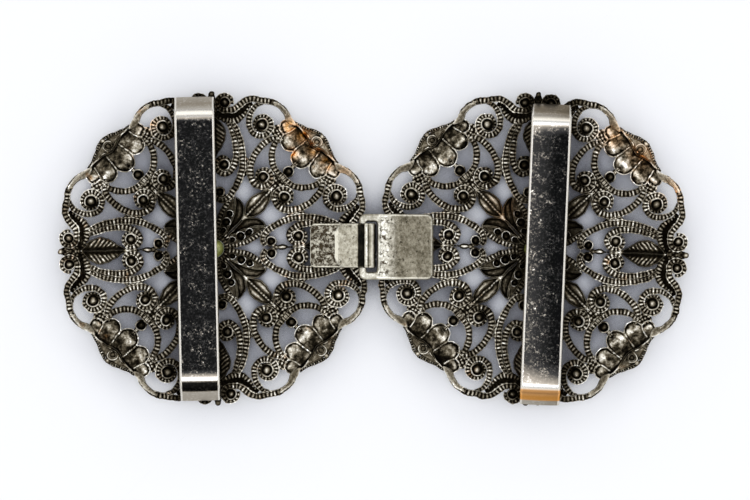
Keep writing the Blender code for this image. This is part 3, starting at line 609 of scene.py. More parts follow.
def add_turned(shell, u, v, lift, profile, rise):
    """A turned solid about (u, v) from rows of (radius, height, wear and painted light, slit
    depth).

    It is closed at the axis, or it is a ring where its first row lies off the axis.
    """
    ring = profile[0][0] > 0
    rows = profile if ring else profile[1:-1]
    count = len(rise)
    angle = 2 * np.pi * np.arange(count) / count
    rings = np.empty((len(rows), count, 3))
    wear_and_painted_light = np.empty((len(rows), count))
    for k, (radius, height, value, slit) in enumerate(rows):
        rings[k, :, 0] = u + radius * np.cos(angle)
        rings[k, :, 1] = v + radius * np.sin(angle)
        rings[k, :, 2] = lift + height - slit * (1 - rise)
        wear_and_painted_light[k] = value * (rise if slit else 1.0)
    points, marks = rings.reshape(-1, 3), wear_and_painted_light.ravel()
    if not ring:
        ends = [(u, v, lift + profile[0][1]), (u, v, lift + profile[-1][1])]
        points = np.vstack([points, ends])
        marks = np.append(marks, [profile[0][2], profile[-1][2]])
    shell.add(points, tube_triangles(len(rows), count, ring), marks)


def add_eye(shell, eye, count=20):
    """A bright ring round a dark groove and a domed floor, with a bead on the front.

    The ring dips on one side, where the curl winds into it.
    """
    wall = eye.ring - eye.pit
    angle = 2 * np.pi * np.arange(count) / count
    rise = 1 - eye.dip * ease(np.cos(angle - EYE_DIP_ANGLE), -0.2, 0.9)
    # The dome is painted brightest at its middle, fading towards the dark groove: a painted
    # highlight, as strong as shine says.
    profile = (
        (0.0, -0.12, eye.shine, 0.0),
        (0.3 * eye.pit, -0.15, eye.shine * 0.8, 0.0),
        (0.62 * eye.pit, -0.32, eye.shine * 0.45, 0.0),
        (0.82 * eye.pit, -0.55, 0.0, 0.0),
        (0.95 * eye.pit, -0.55, 0.0, 0.0),
        (eye.pit, -0.05, 0.6, 0.2),
        (eye.pit + 0.35 * wall, 0.12, 0.9, 0.25),
        (eye.pit + 0.65 * wall, 0.12, 0.9, 0.25),
        (eye.ring - 0.02, 0.0, 0.75, 0.2),
        (eye.ring, -0.45, 0.0, 0.0),
        (0.95 * eye.ring, -WALL, 0.0, 0.0),
        (0.6 * eye.ring, -WALL - 0.28, 0.3, 0.0),
        (0.0, -WALL - 0.4, 0.7, 0.0),
    )
    add_turned(shell, eye.u, eye.v, eye.lift, profile, rise)


def add_bead(shell, bead, count=18):
    """A small cast ball, flattened against the metal."""
    profile = [(0.0, bead.pit, 1.0, 0.0)]
    for k in range(1, BEAD_STEPS + 1):
        angle = math.pi / 2 * (1 - k / BEAD_STEPS)
        shine = bead.shine * (1 - k / (BEAD_STEPS + 1))
        profile.append((bead.ring * math.cos(angle), bead.pit * math.sin(angle), shine, 0.0))
    profile += [
        (bead.ring, -WALL * 0.6, 0.1, 0.0),
        (bead.ring * 0.7, -WALL - 0.15, 0.7, 0.0),
        (0.0, -WALL - 0.25, 0.9, 0.0),
    ]
    add_turned(shell, bead.u, bead.v, bead.lift, profile, np.ones(count))


def nearest_on(points, outline):
    """Distance from each point to a closed outline."""
    best = np.full(len(points), np.inf)
    for a, b in zip(outline, np.roll(outline, -1, axis=0)):
        along = b - a
        t = np.clip(((points - a) @ along) / (along @ along + 1e-12), 0, 1)
        best = np.minimum(best, np.linalg.norm(points - a - t[:, None] * along, axis=1))
    return best


def edge_distance(points, loops):
    """Distance from each point to the nearest of several closed outlines."""
    return np.min([nearest_on(points, loop) for loop in loops], axis=0)


def inside(points, outlines):
    """Which points lie inside an odd number of closed outlines."""
    odd = np.zeros(len(points), bool)
    for outline in outlines:
        for (ax, ay), (bx, by) in zip(outline, np.roll(outline, -1, axis=0)):
            if ay != by:
                spans = (ay > points[:, 1]) != (by > points[:, 1])
                odd ^= spans & (points[:, 0] < ax + (points[:, 1] - ay) * (bx - ax) / (by - ay))
    return odd


def turned_left(outline):
    """The outline in counterclockwise order."""
    after = np.roll(outline, -1, axis=0)
    area = np.sum(outline[:, 0] * after[:, 1] - after[:, 0] * outline[:, 1])
    return outline if area > 0 else outline[::-1]


def relief_grid(loops, spacing, insets):
    """Points inside the loops: rows along each edge, and a staggered grid between them."""
    free = []
    for loop in loops:
        inward = normals_of(np.vstack([loop[-1:], loop, loop[:1]]))[1:-1]
        for distance in insets:
            row = loop + inward * distance
            free.append(row[edge_distance(row, loops) > distance * 0.93])
    low, high = loops[0].min(axis=0), loops[0].max(axis=0)
    xs = np.arange(low[0], high[0], spacing)
    ys = np.arange(low[1], high[1], spacing * 0.866)
    grid = np.array([(x + (k % 2) * spacing / 2, y) for k, y in enumerate(ys) for x in xs])
    free.append(grid[edge_distance(grid, loops) > insets[-1] + 0.45 * spacing])
    free = np.vstack(free)
    return free[inside(free, loops)]


def triangulated(loops, free):
    """The points and triangles of a flat face between closed outlines."""
    edges = []
    total = 0
    for loop in loops:
        edges += [(total + k, total + (k + 1) % len(loop)) for k in range(len(loop))]
        total += len(loop)
    found = delaunay_2d_cdt([Vector(p) for p in np.vstack(loops + [free])], edges, [], 0, 1e-5)
    flat = np.array([tuple(p) for p in found[0]])
    faces = np.array([tuple(face) for face in found[2]])
    faces = faces[inside(flat[faces].mean(axis=1), loops)]
    used = np.unique(faces)
    index = np.full(len(flat), -1)
    index[used] = np.arange(len(used))
    return flat[used], index[faces]


def add_relief(shell, outlines, surface, under, spacing=0.14, insets=(0.1, 0.2), pits=0.0):
    """A closed piece with flat outlines, the first its edge and the others its holes.

    surface(points, edge distance) gives the height and the wear and painted light, or the marks, of
    its back, and under those of its front.
    """
    loops = []
    for k, outline in enumerate(outlines):
        loop = turned_left(respaced(np.vstack([outline, outline[:1]]), spacing)[:-1])
        loops.append(loop if k == 0 else loop[::-1])
    flat, faces = triangulated(loops, relief_grid(loops, spacing, insets))
    distance = edge_distance(flat, loops)
    back, front = surface(flat, distance), under(flat, distance)
    points = np.vstack([np.column_stack([flat, back[0]]), np.column_stack([flat, front[0]])])
    sides = np.vstack([faces[:, [0, 1]], faces[:, [1, 2]], faces[:, [2, 0]]])
    known = {(a, b) for a, b in sides}
    border = [(a, b) for a, b in sides if (b, a) not in known]
    count = len(flat)
    walls = [(b, a, a + count) for a, b in border] + [(b, a + count, b + count) for a, b in border]
    triangles = np.vstack([faces, faces[:, ::-1] + count, np.array(walls)])
    marks = np.concatenate([back[1], front[1]])
    if marks.ndim == 1:
        marks = np.column_stack([marks, np.full(len(marks), pits), np.zeros(len(marks))])
    shell.add(points, triangles, marks)


def cushion(belly=CUSHION):
    """A plain front that stands out by belly."""

    def under(points, distance):
        out = 1 - np.exp(-distance / CUSHION_REACH)
        return -WALL - belly * out, 0.05 + 0.35 * np.minimum(distance / 0.5, 1.0)

    return under


def rail_profile(distance, height=RAIL_HEIGHT):
    """Height and wear of a rail that follows an outline, by distance from the edge."""
    steps = (0.0, 0.1, 0.2, 0.27)
    up = np.interp(distance, steps, (-0.06, height, RAIL_FOOT, RAIL_FOOT))
    return up, np.interp(distance, steps, (0.35, 1.0, 0.2, 0.05))


def mirrored(half):
    """A full outline from one half of it, mirrored across the axis."""
    points = np.array(half, float)
    other = points[::-1] * (1, -1)
    return np.vstack([points, other[np.abs(other[:, 1]) > 1e-6]])


def across_diagonal(half):
    """A full outline from one half of it, mirrored across the diagonal."""
    points = np.array(half, float)
    other = points[::-1, ::-1]
    return np.vstack([points, other[np.abs(other[:, 0] - other[:, 1]) > 1e-6]])


def blend(first, second, share):
    """A mix of two (height, wear) pairs."""
    return tuple(a * (1 - share) + b * share for a, b in zip(first, second))


def axis_leaf_surface(points, distance):
    """A blade with a straight midrib and slanting veins."""
    u, v = points[:, 0], np.abs(points[:, 1])
    vein = 0.5 + 0.5 * np.cos(2 * np.pi * (u + VEIN_SLANT * v) / VEIN_PITCH)
    lit = ease(v, 0.25, 0.9)
    hollow = -0.45 + (0.12 + 0.22 * vein) * lit
    field = (hollow, (0.1 + 0.75 * vein**1.5) * lit)
    surface = blend(rail_profile(distance), field, ease(distance, 0.16, 0.4))
    return blend(surface, (0.12, 0.95), np.exp(-((v / MIDRIB) ** 2)))


def diagonal_leaf_surface(points, distance):
    """A smooth leaf with a double midrib along the diagonal and a hollow on each side."""
    side = np.abs(points[:, 0] - points[:, 1]) / math.sqrt(2)
    along = (points[:, 0] + points[:, 1]) / math.sqrt(2)
    crease = ease(side, 0.15, 0.8) * ease(distance, 0.1, 0.6)
    gleam = 0.5 + 0.5 * np.sin(along * 1.4)
    field = (-0.5 + 0.3 * crease, 0.12 + (0.3 + 0.35 * gleam) * crease)
    surface = blend(rail_profile(distance, 0.06), field, ease(distance, 0.14, 0.4))
    return blend(surface, (0.05, 0.85), np.exp(-(((side - 0.06) / 0.1) ** 2)))


def sickle_surface(points, distance):
    """A deep dark hollow with thin rails."""
    field = (-0.62 + 0.16 * ease(distance, 0.3, 0.9), 0.16 + 0.3 * ease(distance, 0.3, 0.9))
    return blend(rail_profile(distance, 0.06), field, ease(distance, 0.14, 0.45))


def pod_surface(points, distance):
    """A bright ground with a deep pit for each of the pod's eyes."""
    surface = blend(rail_profile(distance, 0.08), (-0.12, 0.32), ease(distance, 0.12, 0.25))
    for eye in PITS:
        away = np.hypot(points[:, 0] - eye.u, points[:, 1] - eye.v)
        surface = blend((-0.7, 0.0), surface, ease(away, eye.pit, eye.pit + 0.1))
    return surface


def shoulder_surface(points, distance):
    """Smooth metal where the rim runs into the scoops, brightest along its edges."""
    out = ease(distance, 0.0, 0.3)
    return 0.02 + 0.2 * out, 0.85 - 0.35 * out


def apex_surface(points, distance):
    """The field of the pointed corner: a thin rail beside the scoops, and a sunk grey border."""
    beside = np.exp(-(((-outer_room(points) - 0.12) / 0.1) ** 2))
    field = (-0.25 + 0.45 * beside, 0.52 + 0.45 * beside)
    height, worn = blend(rail_profile(distance), field, ease(distance, 0.12, 0.26))
    return height - APEX_DROP, worn


def stem_bead_surface(points, distance):
    """A spindle bead in a thin rail."""
    length, width = STEM_BEAD_HALF
    along = (points[:, 0] - STEM_BEAD_MIDDLE) / length
    bead = np.clip(1 - along**2 - (points[:, 1] / width) ** 2, 0, 1)
    return blend((-0.25, 0.1), (0.12, 0.95), np.sqrt(bead))


def web_surface(web):
    """Small beads of metal on a sunk ground."""

    def surface(points, distance):
        u, v = points[:, 0], points[:, 1]
        bent = 0.15 * ripple(points, 1.1, 41)
        cell = np.cos(2 * np.pi * (u + WEB_SKEW * v) / WEB_CELL + bent)
        cell = cell * np.cos(2 * np.pi * (v - WEB_SKEW * u) / WEB_CELL - 3 * bent)
        rise = ease(cell, -0.15, 0.45)
        return -web.depth + 0.2 * rise, 0.02 + web.shine * rise

    return surface


def scoop_distances(points):
    """How far each point lies inside its scoop and from the next one, its fall, and its depth."""
    scoops = list(SCOOPS)
    for scoop in SCOOPS[1:]:
        scoops.append(scoop._replace(u=scoop.v, v=scoop.u, turn_deg=90 - scoop.turn_deg))
    room, along, depth = [], [], []
    for scoop in scoops:
        turn = math.radians(scoop.turn_deg)
        away = points - (scoop.u, scoop.v)
        a = away @ (math.cos(turn), math.sin(turn))
        b = away @ (-math.sin(turn), math.cos(turn))
        room.append(scoop.radius - np.hypot(np.minimum(a, 0), b))
        along.append((a + scoop.radius) / (scoop.length + scoop.radius))
        depth.append(np.full(len(points), scoop.depth))
    order = np.argsort(room, axis=0)[::-1]
    first, second = (np.take_along_axis(np.array(room), order[k : k + 1], 0)[0] for k in (0, 1))
    t = np.take_along_axis(np.array(along), order[:1], 0)[0]
    deep = np.take_along_axis(np.array(depth), order[:1], 0)[0]
    return first, (first - second) / 2, t, deep


def outer_room(points):
    """Distance inwards from the rail outside the scoops, which bulges in round the corner's eye."""
    sideways = (points[:, 0] - points[:, 1]) / math.sqrt(2)
    line = OUTER_LINE - OUTER_BULGE * np.exp(-((sideways / OUTER_BULGE_REACH) ** 2))
    return line - (points[:, 0] + points[:, 1]) / math.sqrt(2)


def scoops_outline():
    """The edge of the strip of five scoops, found along rays from the middle of its outer rail."""
    middle = np.full(2, OUTER_LINE / math.sqrt(2) - 0.05)
    reach = np.arange(0.05, RAY_LENGTH, 0.04)
    rows = []
    for k in range(RAYS + 1):
        angle = math.radians(45 + 90 + 180 * k / RAYS)
        ray = middle + np.outer(reach, (math.cos(angle), math.sin(angle)))
        sideways = np.abs(ray[:, 0] - ray[:, 1]) / math.sqrt(2)
        room = outer_room(ray)
        by_rail = (room < OUTER_WIDTH) & (sideways < OUTER_HALF_LENGTH)
        rows.append(ray[(room > 0) & ((scoop_distances(ray)[0] > 0) | by_rail)][-1])
    first, last = rows[0], rows[-1]
    for share in np.linspace(0, 1, 25)[1:-1]:
        spot = last + (first - last) * share
        rows.append(spot + (outer_room(spot[None])[0] - 0.02) / math.sqrt(2))
    return np.array(rows)


def scoops_surface(points, distance):
    """Polished hollows side by side, with thin walls between them and a dark fall at the rail."""
    first, wall, t, deep = scoop_distances(points)
    outer = outer_room(points)
    bulge = 1 - ((t - 0.38) / 0.45) ** 2
    floor = -deep + 0.12 * np.clip(bulge, 0, 1)
    field = (floor, 0.36 + 0.44 * np.exp(-(((t - 0.36) / 0.16) ** 2)))
    field = blend((-0.65, 0.1), field, ease(first, 0.22, 0.5))
    line = np.exp(-((wall / 0.18) ** 2))
    rim = np.exp(-(((first - 0.07) / 0.07) ** 2))
    ridge = (0.02 + 0.06 * line, 0.66 + 0.34 * np.maximum(line, rim))
    surface = blend(ridge, field, ease(first, 0.14, 0.26) * ease(wall, 0.08, 0.24))
    return blend((-0.85, 0.0), surface, ease(outer, 0.2, 0.6))


def gathered(eyes=(), reliefs=(), bands=(), beads=(), seed=0):
    """One shell of eyes, pieces in relief, bands and beads."""
    shell = Shell()
    for eye in eyes:
        add_eye(shell, eye)
    for relief in reliefs:
        add_relief(shell, *relief)
    rng = np.random.default_rng(seed)
    for band in bands:
        add_band(shell, band, rng)
    for bead in beads:
        add_bead(shell, bead)
    return shell


def leaves_shell():
    """The leaves, pods and webs that repeat eight times."""
    plain, thin = cushion(), cushion(THIN_CUSHION)
    reliefs = [
        ([smooth(SICKLE_LEAF, 0.15, True)], sickle_surface, plain, 0.17),
        ([smooth(POD, 0.15, True)], pod_surface, plain, 0.16),
        ([smooth(SHOULDER, 0.3, True)], shoulder_surface, thin, 0.24, (0.12,)),
    ]
    for web in WEBS:
        reliefs.append(([np.array(web.outline, float)], web_surface(web), thin, 0.19))
    return gathered(reliefs=reliefs)


def axial_shell():
    """What lies on an axis or a diagonal and repeats four times, but for the scoops."""
    plain, thin = cushion(), cushion(THIN_CUSHION)
    reliefs = (
        ([mirrored(AXIS_LEAF)], axis_leaf_surface, plain, 0.14),
        ([across_diagonal(DIAGONAL_LEAF)], diagonal_leaf_surface, plain, 0.16),
        ([mirrored(STEM_BEAD)], stem_bead_surface, thin, 0.1, (0.08,)),
    )
    return gathered(SINGLE_EYES, reliefs, (STEM,), seed=3)


def corner_shell():
    """The scoops and the pointed corner outside them."""
    reliefs = (
        ([scoops_outline()], scoops_surface, cushion(SCOOP_CUSHION), 0.15, (0.1, 0.2), 1.0),
        ([across_diagonal(APEX)], apex_surface, cushion(THIN_CUSHION), 0.14),
    )
    return gathered(reliefs=reliefs, beads=(APEX_TIP,))


def hub_shell(window):
    """The milled stone setting at the middle, and the sunk ground round it."""
    shell = Shell()
    inner, chamfered, outer = FRONT_BEZEL
    profile = (
        (window, -WALL * 0.6, 0.1, 0.0),
        (window, 0.0, 0.2, 0.0),
        (window + BEZEL_CHAMFER, BEZEL_HEIGHT, 0.75, 0.12),
        (BEZEL_RADIUS - BEZEL_CHAMFER, BEZEL_HEIGHT, 0.75, 0.2),
        (BEZEL_RADIUS, 0.05, 0.3, 0.2),
        (BEZEL_RADIUS, -GROUND_DEPTH, 0.0, 0.0),
        (GROUND_RADIUS, -GROUND_DEPTH, 0.05, 0.0),
        (GROUND_RADIUS, -WALL, 0.2, 0.0),
        (outer, -WALL, 0.3, 0.0),
        (outer, -WALL - FRONT_BEZEL_HEIGHT, 0.9, 0.0),
        (chamfered, -WALL - FRONT_BEZEL_HEIGHT, 0.9, 0.0),
        (inner, -WALL, 0.2, 0.0),
        (window, -WALL, 0.1, 0.0),
    )
    add_turned(shell, 0.0, 0.0, 0.0, profile, rib_rise(BEZEL_TEETH, np.random.default_rng(5)))
    return shell


def turns(mirrors):
    """Matrices of the pattern's quarter turns, with and without the mirror."""
    out = []
    for quarter in range(4):
        c = round(math.cos(quarter * math.pi / 2))
        s = round(math.sin(quarter * math.pi / 2))
        for mirror in mirrors:
            out.append(np.array([[c, -s * mirror], [s, c * mirror]], float))
    return out


EIGHT = turns((1, -1))
FOUR = turns((1,))
ONCE = [np.eye(2)]


def add_repeats(target, shell, matrices, seed):
    """Copies of a shell, turned round the medallion, laid on its dish and made a little uneven."""
    points, triangles, marks = shell.joined()
    for matrix in matrices:
        flat = points[:, :2] @ matrix.T
        fine, broad, along, across = (
            size * ripple(flat, wavelength, seed + k)
            for k, (size, wavelength) in enumerate(RIPPLES)
        )
        height = points[:, 2] + back_level(np.linalg.norm(flat, axis=1)) + fine + broad
        height = np.maximum(height, LOWEST)
        moved = np.column_stack([flat[:, 0] + along, flat[:, 1] + across, height])
        target.add(moved, triangles, marks)


def finished(name, shell, material, location, turn, node, smooth_angle=60):
    """Make the mesh object of a shell, which rides the body and stands for its CAD node."""
    points, triangles, marks = shell.joined()
    mesh = bpy.data.meshes.new(name)
    mesh.from_pydata(points * MM, [], triangles)
    mesh.update()
    for k, mark in enumerate(("wear_and_painted_light", "pits", "copper")):
        attribute = mesh.attributes.new(mark, "FLOAT", "POINT")
        attribute.data.foreach_set("value", marks[:, k].astype(np.float32))
    mesh.shade_smooth()
    mesh.set_sharp_from_angle(angle=math.radians(smooth_angle))
    mesh.materials.append(material)
    obj = bpy.data.objects.new(name, mesh)
    obj.location = location
    obj.rotation_euler = (0, 0, turn)
    bpy.context.scene.collection.objects.link(obj)
    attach(obj, "root")
    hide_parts(node)


def tip_beads():
    """A bead on each tip but the one that meets the other medallion, towards +X."""
    beads = []
    for angle in (math.pi / 2, math.pi, 3 * math.pi / 2):
        reach = TIP_BEAD.u
        beads.append(TIP_BEAD._replace(u=reach * math.cos(angle), v=reach * math.sin(angle)))
    return gathered(beads=beads)


def middle_of(node):
    """The middle of a CAD node's box, on the floor, in metres."""
    low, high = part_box(node)
    return ((low.x + high.x) / 2, (low.y + high.y) / 2, 0.0)


def mark_copper_and_bar_shade(shell, spots, turn, bar):
    """Mark the copper spots, given in the clasp's own directions, and paint the bar's shadow by it.
    """
    points, _, marks = shell.joined()
    c, s = math.cos(turn), math.sin(turn)
    x = points[:, 0] * c - points[:, 1] * s
    y = points[:, 0] * s + points[:, 1] * c
    copper = np.zeros(len(points))
    for spot in spots:
        distance = np.hypot(x - spot.x, y - spot.y)
        copper = np.maximum(copper, spot.strength * np.exp(-((distance / spot.reach) ** 2)))
    marks[:, 2] = copper
    # Painted shadow of the bar: the metal beside it is made darker, less so further away.
    beside = np.maximum(np.abs(points[:, 0] * np.sign(c) - bar) - BAR_WIDTH / 2, 0.0)
    marks[:, 0] *= 1 - BAR_PAINTED_SHADE * np.exp(-((beside / BAR_PAINTED_SHADE_REACH) ** 2))
    shell.marks = [marks]


def make_medallions(metal):
    parts = (
        ("rim", ((gathered(bands=RIM_BANDS, seed=7), EIGHT),)),
        ("scrolls", ((gathered(bands=SCROLL_BANDS, seed=11), EIGHT),)),
        ("eyes", ((gathered(EYES + PITS), EIGHT),)),
        ("leaves", ((leaves_shell(), EIGHT), (axial_shell(), FOUR), (tip_beads(), ONCE))),
        ("corners", ((corner_shell(), FOUR),)),
    )
    for side in SIDES:
        turn = TURN[side] + FLIP[side]
        centre = middle_of("stone_" + side)
        bar = (middle_of("ribbon_bar_" + side)[0] - centre[0]) / MM
        hub = ("hub", ((hub_shell(WINDOW_RADIUS[side]), ONCE),))
        for k, (kind, shells) in enumerate((*parts, hub)):
            target = Shell()
            for shell, matrices in shells:
                add_repeats(target, shell, matrices, SIDE_SEED[side] + 20 * k)
            mark_copper_and_bar_shade(target, COPPER[side], turn, bar)
            name = "medallion_" + kind + "_" + side
            finished(name, target, metal, centre, turn, "medallion_" + side)


def add_strip(shell, stations, thickness, edge, crown=0.0, lip=0.0, painted_side_light=0.0):
    """A bent strip with rounded edges, a crowned back and a raised lip along each side.

    A station is (x, z, half width, wear and painted light, pits, copper) on the strip's middle
    line. Its last argument paints the pitted metal lighter towards one side and darker towards the
    other, a painted reflection.
    """
    stations = np.array(stations, float)
    line = stations[:, :2]
    rings, marks = [], []
    for here, up, (_, _, half, wear_and_painted_light, pits, copper) in zip(line, normals_of(line), stations):
        inner = half - edge
        corner = [
            (inner + edge * math.cos(a), thickness / 2 - edge * (1 - math.sin(a)), True)
            for a in np.radians(np.linspace(0, 90, 5))
        ]
        face = []
        for share in np.linspace(FACE_SHARE, -FACE_SHARE, 11):
            y = inner * share
            raised = crown * (1 - share**2) + lip * np.exp(-(((inner - abs(y)) / LIP_WIDTH) ** 2))
            face.append((y, thickness / 2 + raised, False))
        section = corner + face + [(-y, z, bare_and_highlit) for y, z, bare_and_highlit in reversed(corner)]
        section += [(-y, -z, bare_and_highlit) for y, z, bare_and_highlit in section]
        # The rounded edges get a bright tone: worn bare steel, and a painted highlight along each
        # edge.
        edge_tone = min(0.9, wear_and_painted_light + 0.9 * min(pits + 0.25, 1.0))
        for side, rise, bare_and_highlit in section:
            spot = here + up * rise
            rings.append((spot[0], side, spot[1]))
            # Painted reflection across the face: the pitted metal is lighter towards one side and
            # darker towards the other.
            tone = wear_and_painted_light + painted_side_light * pits * side / half
            marks.append((edge_tone, 0.0, copper) if bare_and_highlit else (tone, pits, copper))
    columns = len(section)
    rings, marks = np.array(rings), np.array(marks)
    points = np.vstack([rings, rings[:columns].mean(axis=0), rings[-columns:].mean(axis=0)])
    marks = np.vstack([marks, marks[:1], marks[-1:]])
    shell.add(points, tube_triangles(len(stations), columns), marks)


def make_bar(side, steel):
    """A ribbon bar: a dark flat part, painted highlights at the bends, and legs that slant down to
    the rim.
    """
    foot = back_level(BAR_LENGTH / 2) + SEAT_GAP
    half_length = BAR_LENGTH / 2 - BAR_TRIM[side]
    top = foot + BAR_CLEAR_HEIGHT + BAR_THICKNESS / 2
    middle = BAR_BEND_RADIUS - BAR_THICKNESS / 2
    flat_end = BAR_FLAT_LENGTH / 2
    slope = math.atan2(top - middle - foot, half_length - flat_end - middle)
    bend_end = flat_end + middle * math.sin(slope)
    coarse = np.linspace(0.0, flat_end - BAR_BEND_MARGIN - 0.2, 16)
    fine = np.linspace(flat_end - BAR_BEND_MARGIN, bend_end, 22)
    half_reach = np.concatenate([coarse, fine, np.linspace(bend_end, half_length, 12)[1:]])
    reach = np.concatenate([-half_reach[:0:-1], half_reach])
    past = np.clip(np.abs(reach) - flat_end, 0.0, bend_end - flat_end)
    down = middle - np.sqrt(middle**2 - past**2)
    leg = np.maximum(0.0, np.abs(reach) - bend_end) / (half_length - bend_end)
    down = down + leg * (top - foot - BAR_FOOT_RISE - down)
    tones = np.array(BAR_TONES_AND_PAINTED_LIGHT[side])
    marks = [np.interp(reach, tones[:, 0], column) for column in tones[:, 1:].T]
    half = np.full(len(reach), BAR_WIDTH / 2)
    stations = np.column_stack([reach, top - down, half, *marks])
    shell = Shell()
    add_strip(shell, stations, BAR_THICKNESS, BAR_EDGE, BAR_CROWN, painted_side_light=BAR_PAINTED_SIDE_LIGHT[side])
    node = "ribbon_bar_" + side
    angle = TURN[side] + math.pi / 2
    finished("bar_" + side, shell, steel, middle_of(node), angle, node)


def rounded_end(start, half, radius, count=8):
    """Stations (distance, half width) that round off the first end of a strip."""
    out = []
    for k in range(count + 1):
        angle = math.pi / 2 * k / count
        reach = radius * (1 - math.cos(angle))
        out.append((start + reach, half - radius * (1 - math.sin(angle))))
    return out


def hook_level():
    """Middle height of the hook's lower arm where it crosses the rims."""
    return back_level(RADIUS) + SEAT_GAP + HOOK_THICKNESS / 2


def make_hook(steel, shift):
    """A strip folded round the crossbar: a pitted plate below, and a smooth tongue on top."""
    half = HOOK_WIDTH / 2
    level = hook_level()
    seat = back_level(RADIUS + MEDALLION_GAP / 2 + HOOK_PLATE_END) + SEAT_GAP + HOOK_THICKNESS / 2
    slope = (level - seat) / (-HOOK_LEVEL_LENGTH - HOOK_PLATE_END)
    middle = HOOK_BEND_RADIUS - HOOK_THICKNESS / 2
    top = level + 2 * middle
    step_foot = top - HOOK_STEP_DROP
    lying = seat + (HOOK_TONGUE_END - HOOK_PLATE_END) * slope + HOOK_THICKNESS + HOOK_TONGUE_GAP
    fall = (step_foot - lying) / (HOOK_STEP_START - HOOK_TONGUE_END)

    def plate(x, width, wear_and_painted_light, pits):
        return (x, seat + (x - HOOK_PLATE_END) * slope, width, wear_and_painted_light, pits, 0.0)

    def tongue(x, width, wear_and_painted_light, pits):
        return (x, lying + (x - HOOK_TONGUE_END) * fall, width, wear_and_painted_light, pits, 0.0)

    stations = []
    for k, (x, width) in enumerate(rounded_end(HOOK_PLATE_END, half, HOOK_PLATE_CORNER)):
        stations.append(plate(x, width, 0.85 if k < 2 else 0.75, 1.0 if k > 2 else 0.2))
    for x in np.linspace(HOOK_PLATE_END + HOOK_PLATE_CORNER, -HOOK_LEVEL_LENGTH, 16)[1:]:
        stations.append(plate(x, half, 0.75, 1.0))
    # Tones round the roll are painted light: a highlight, shaded sides, and a dark crease by a
    # bright line.
    for degrees in range(-90, 85, 4):
        angle = math.radians(degrees)
        x = -HOOK_BEND_RADIUS + (middle + HOOK_FULLNESS) * math.cos(angle)
        z = level + middle * (1 + math.sin(angle))
        stations.append((x, z, half, np.interp(degrees, *zip(*HOOK_BEND_PAINTED_LIGHT)), 0.0, 0.0))
    # Painted light on the step: a bright line along its top, and painted shade on its steep face.
    stations += [
        (HOOK_STEP_END + 0.18, top - 0.03, half, 0.9, 0.0, 0.0),
        (HOOK_STEP_END + 0.1, top - 0.12, half, 0.0, 0.0, 0.0),
        (HOOK_STEP_START + 0.1, step_foot + 0.02, half, 0.0, 0.0, 0.0),
        (HOOK_STEP_START, step_foot, half, 0.6, 0.0, 0.0),
    ]
    ends = rounded_end(HOOK_TONGUE_END, half, HOOK_TONGUE_CORNER, 10)[::-1]
    for x in np.linspace(HOOK_STEP_START - 0.15, ends[0][0], 9)[:-1]:
        stations.append(tongue(x, half, 0.78, 0.45))
    for k, (x, width) in enumerate(ends):
        stations.append(tongue(x, width, *((0.78, 0.45) if k < 5 else (1.0, 0.0))))
    shell = Shell()
    add_strip(shell, stations, HOOK_THICKNESS, HOOK_EDGE, lip=HOOK_LIP)
    place = (shift, HOOK_SIDE_SHIFT * MM, 0)
    finished("hook_strip", shell, steel, place, 0.0, "hook")


def rounded_rectangle(x0, x1, half, radius, count=8):
    """Corner points of a rounded rectangle, counterclockwise."""
    out = []
    for x, side, first in ((x1, 1, 0), (x0, 1, 90), (x0, -1, 180), (x1, -1, 270)):
        cx = x - radius if x == x1 else x + radius
        cy = side * (half - radius)
        for k in range(count + 1):
            angle = math.radians(first + 90 * k / count)
            out.append((cx + radius * math.cos(angle), cy + radius * math.sin(angle)))
    return np.array(out)


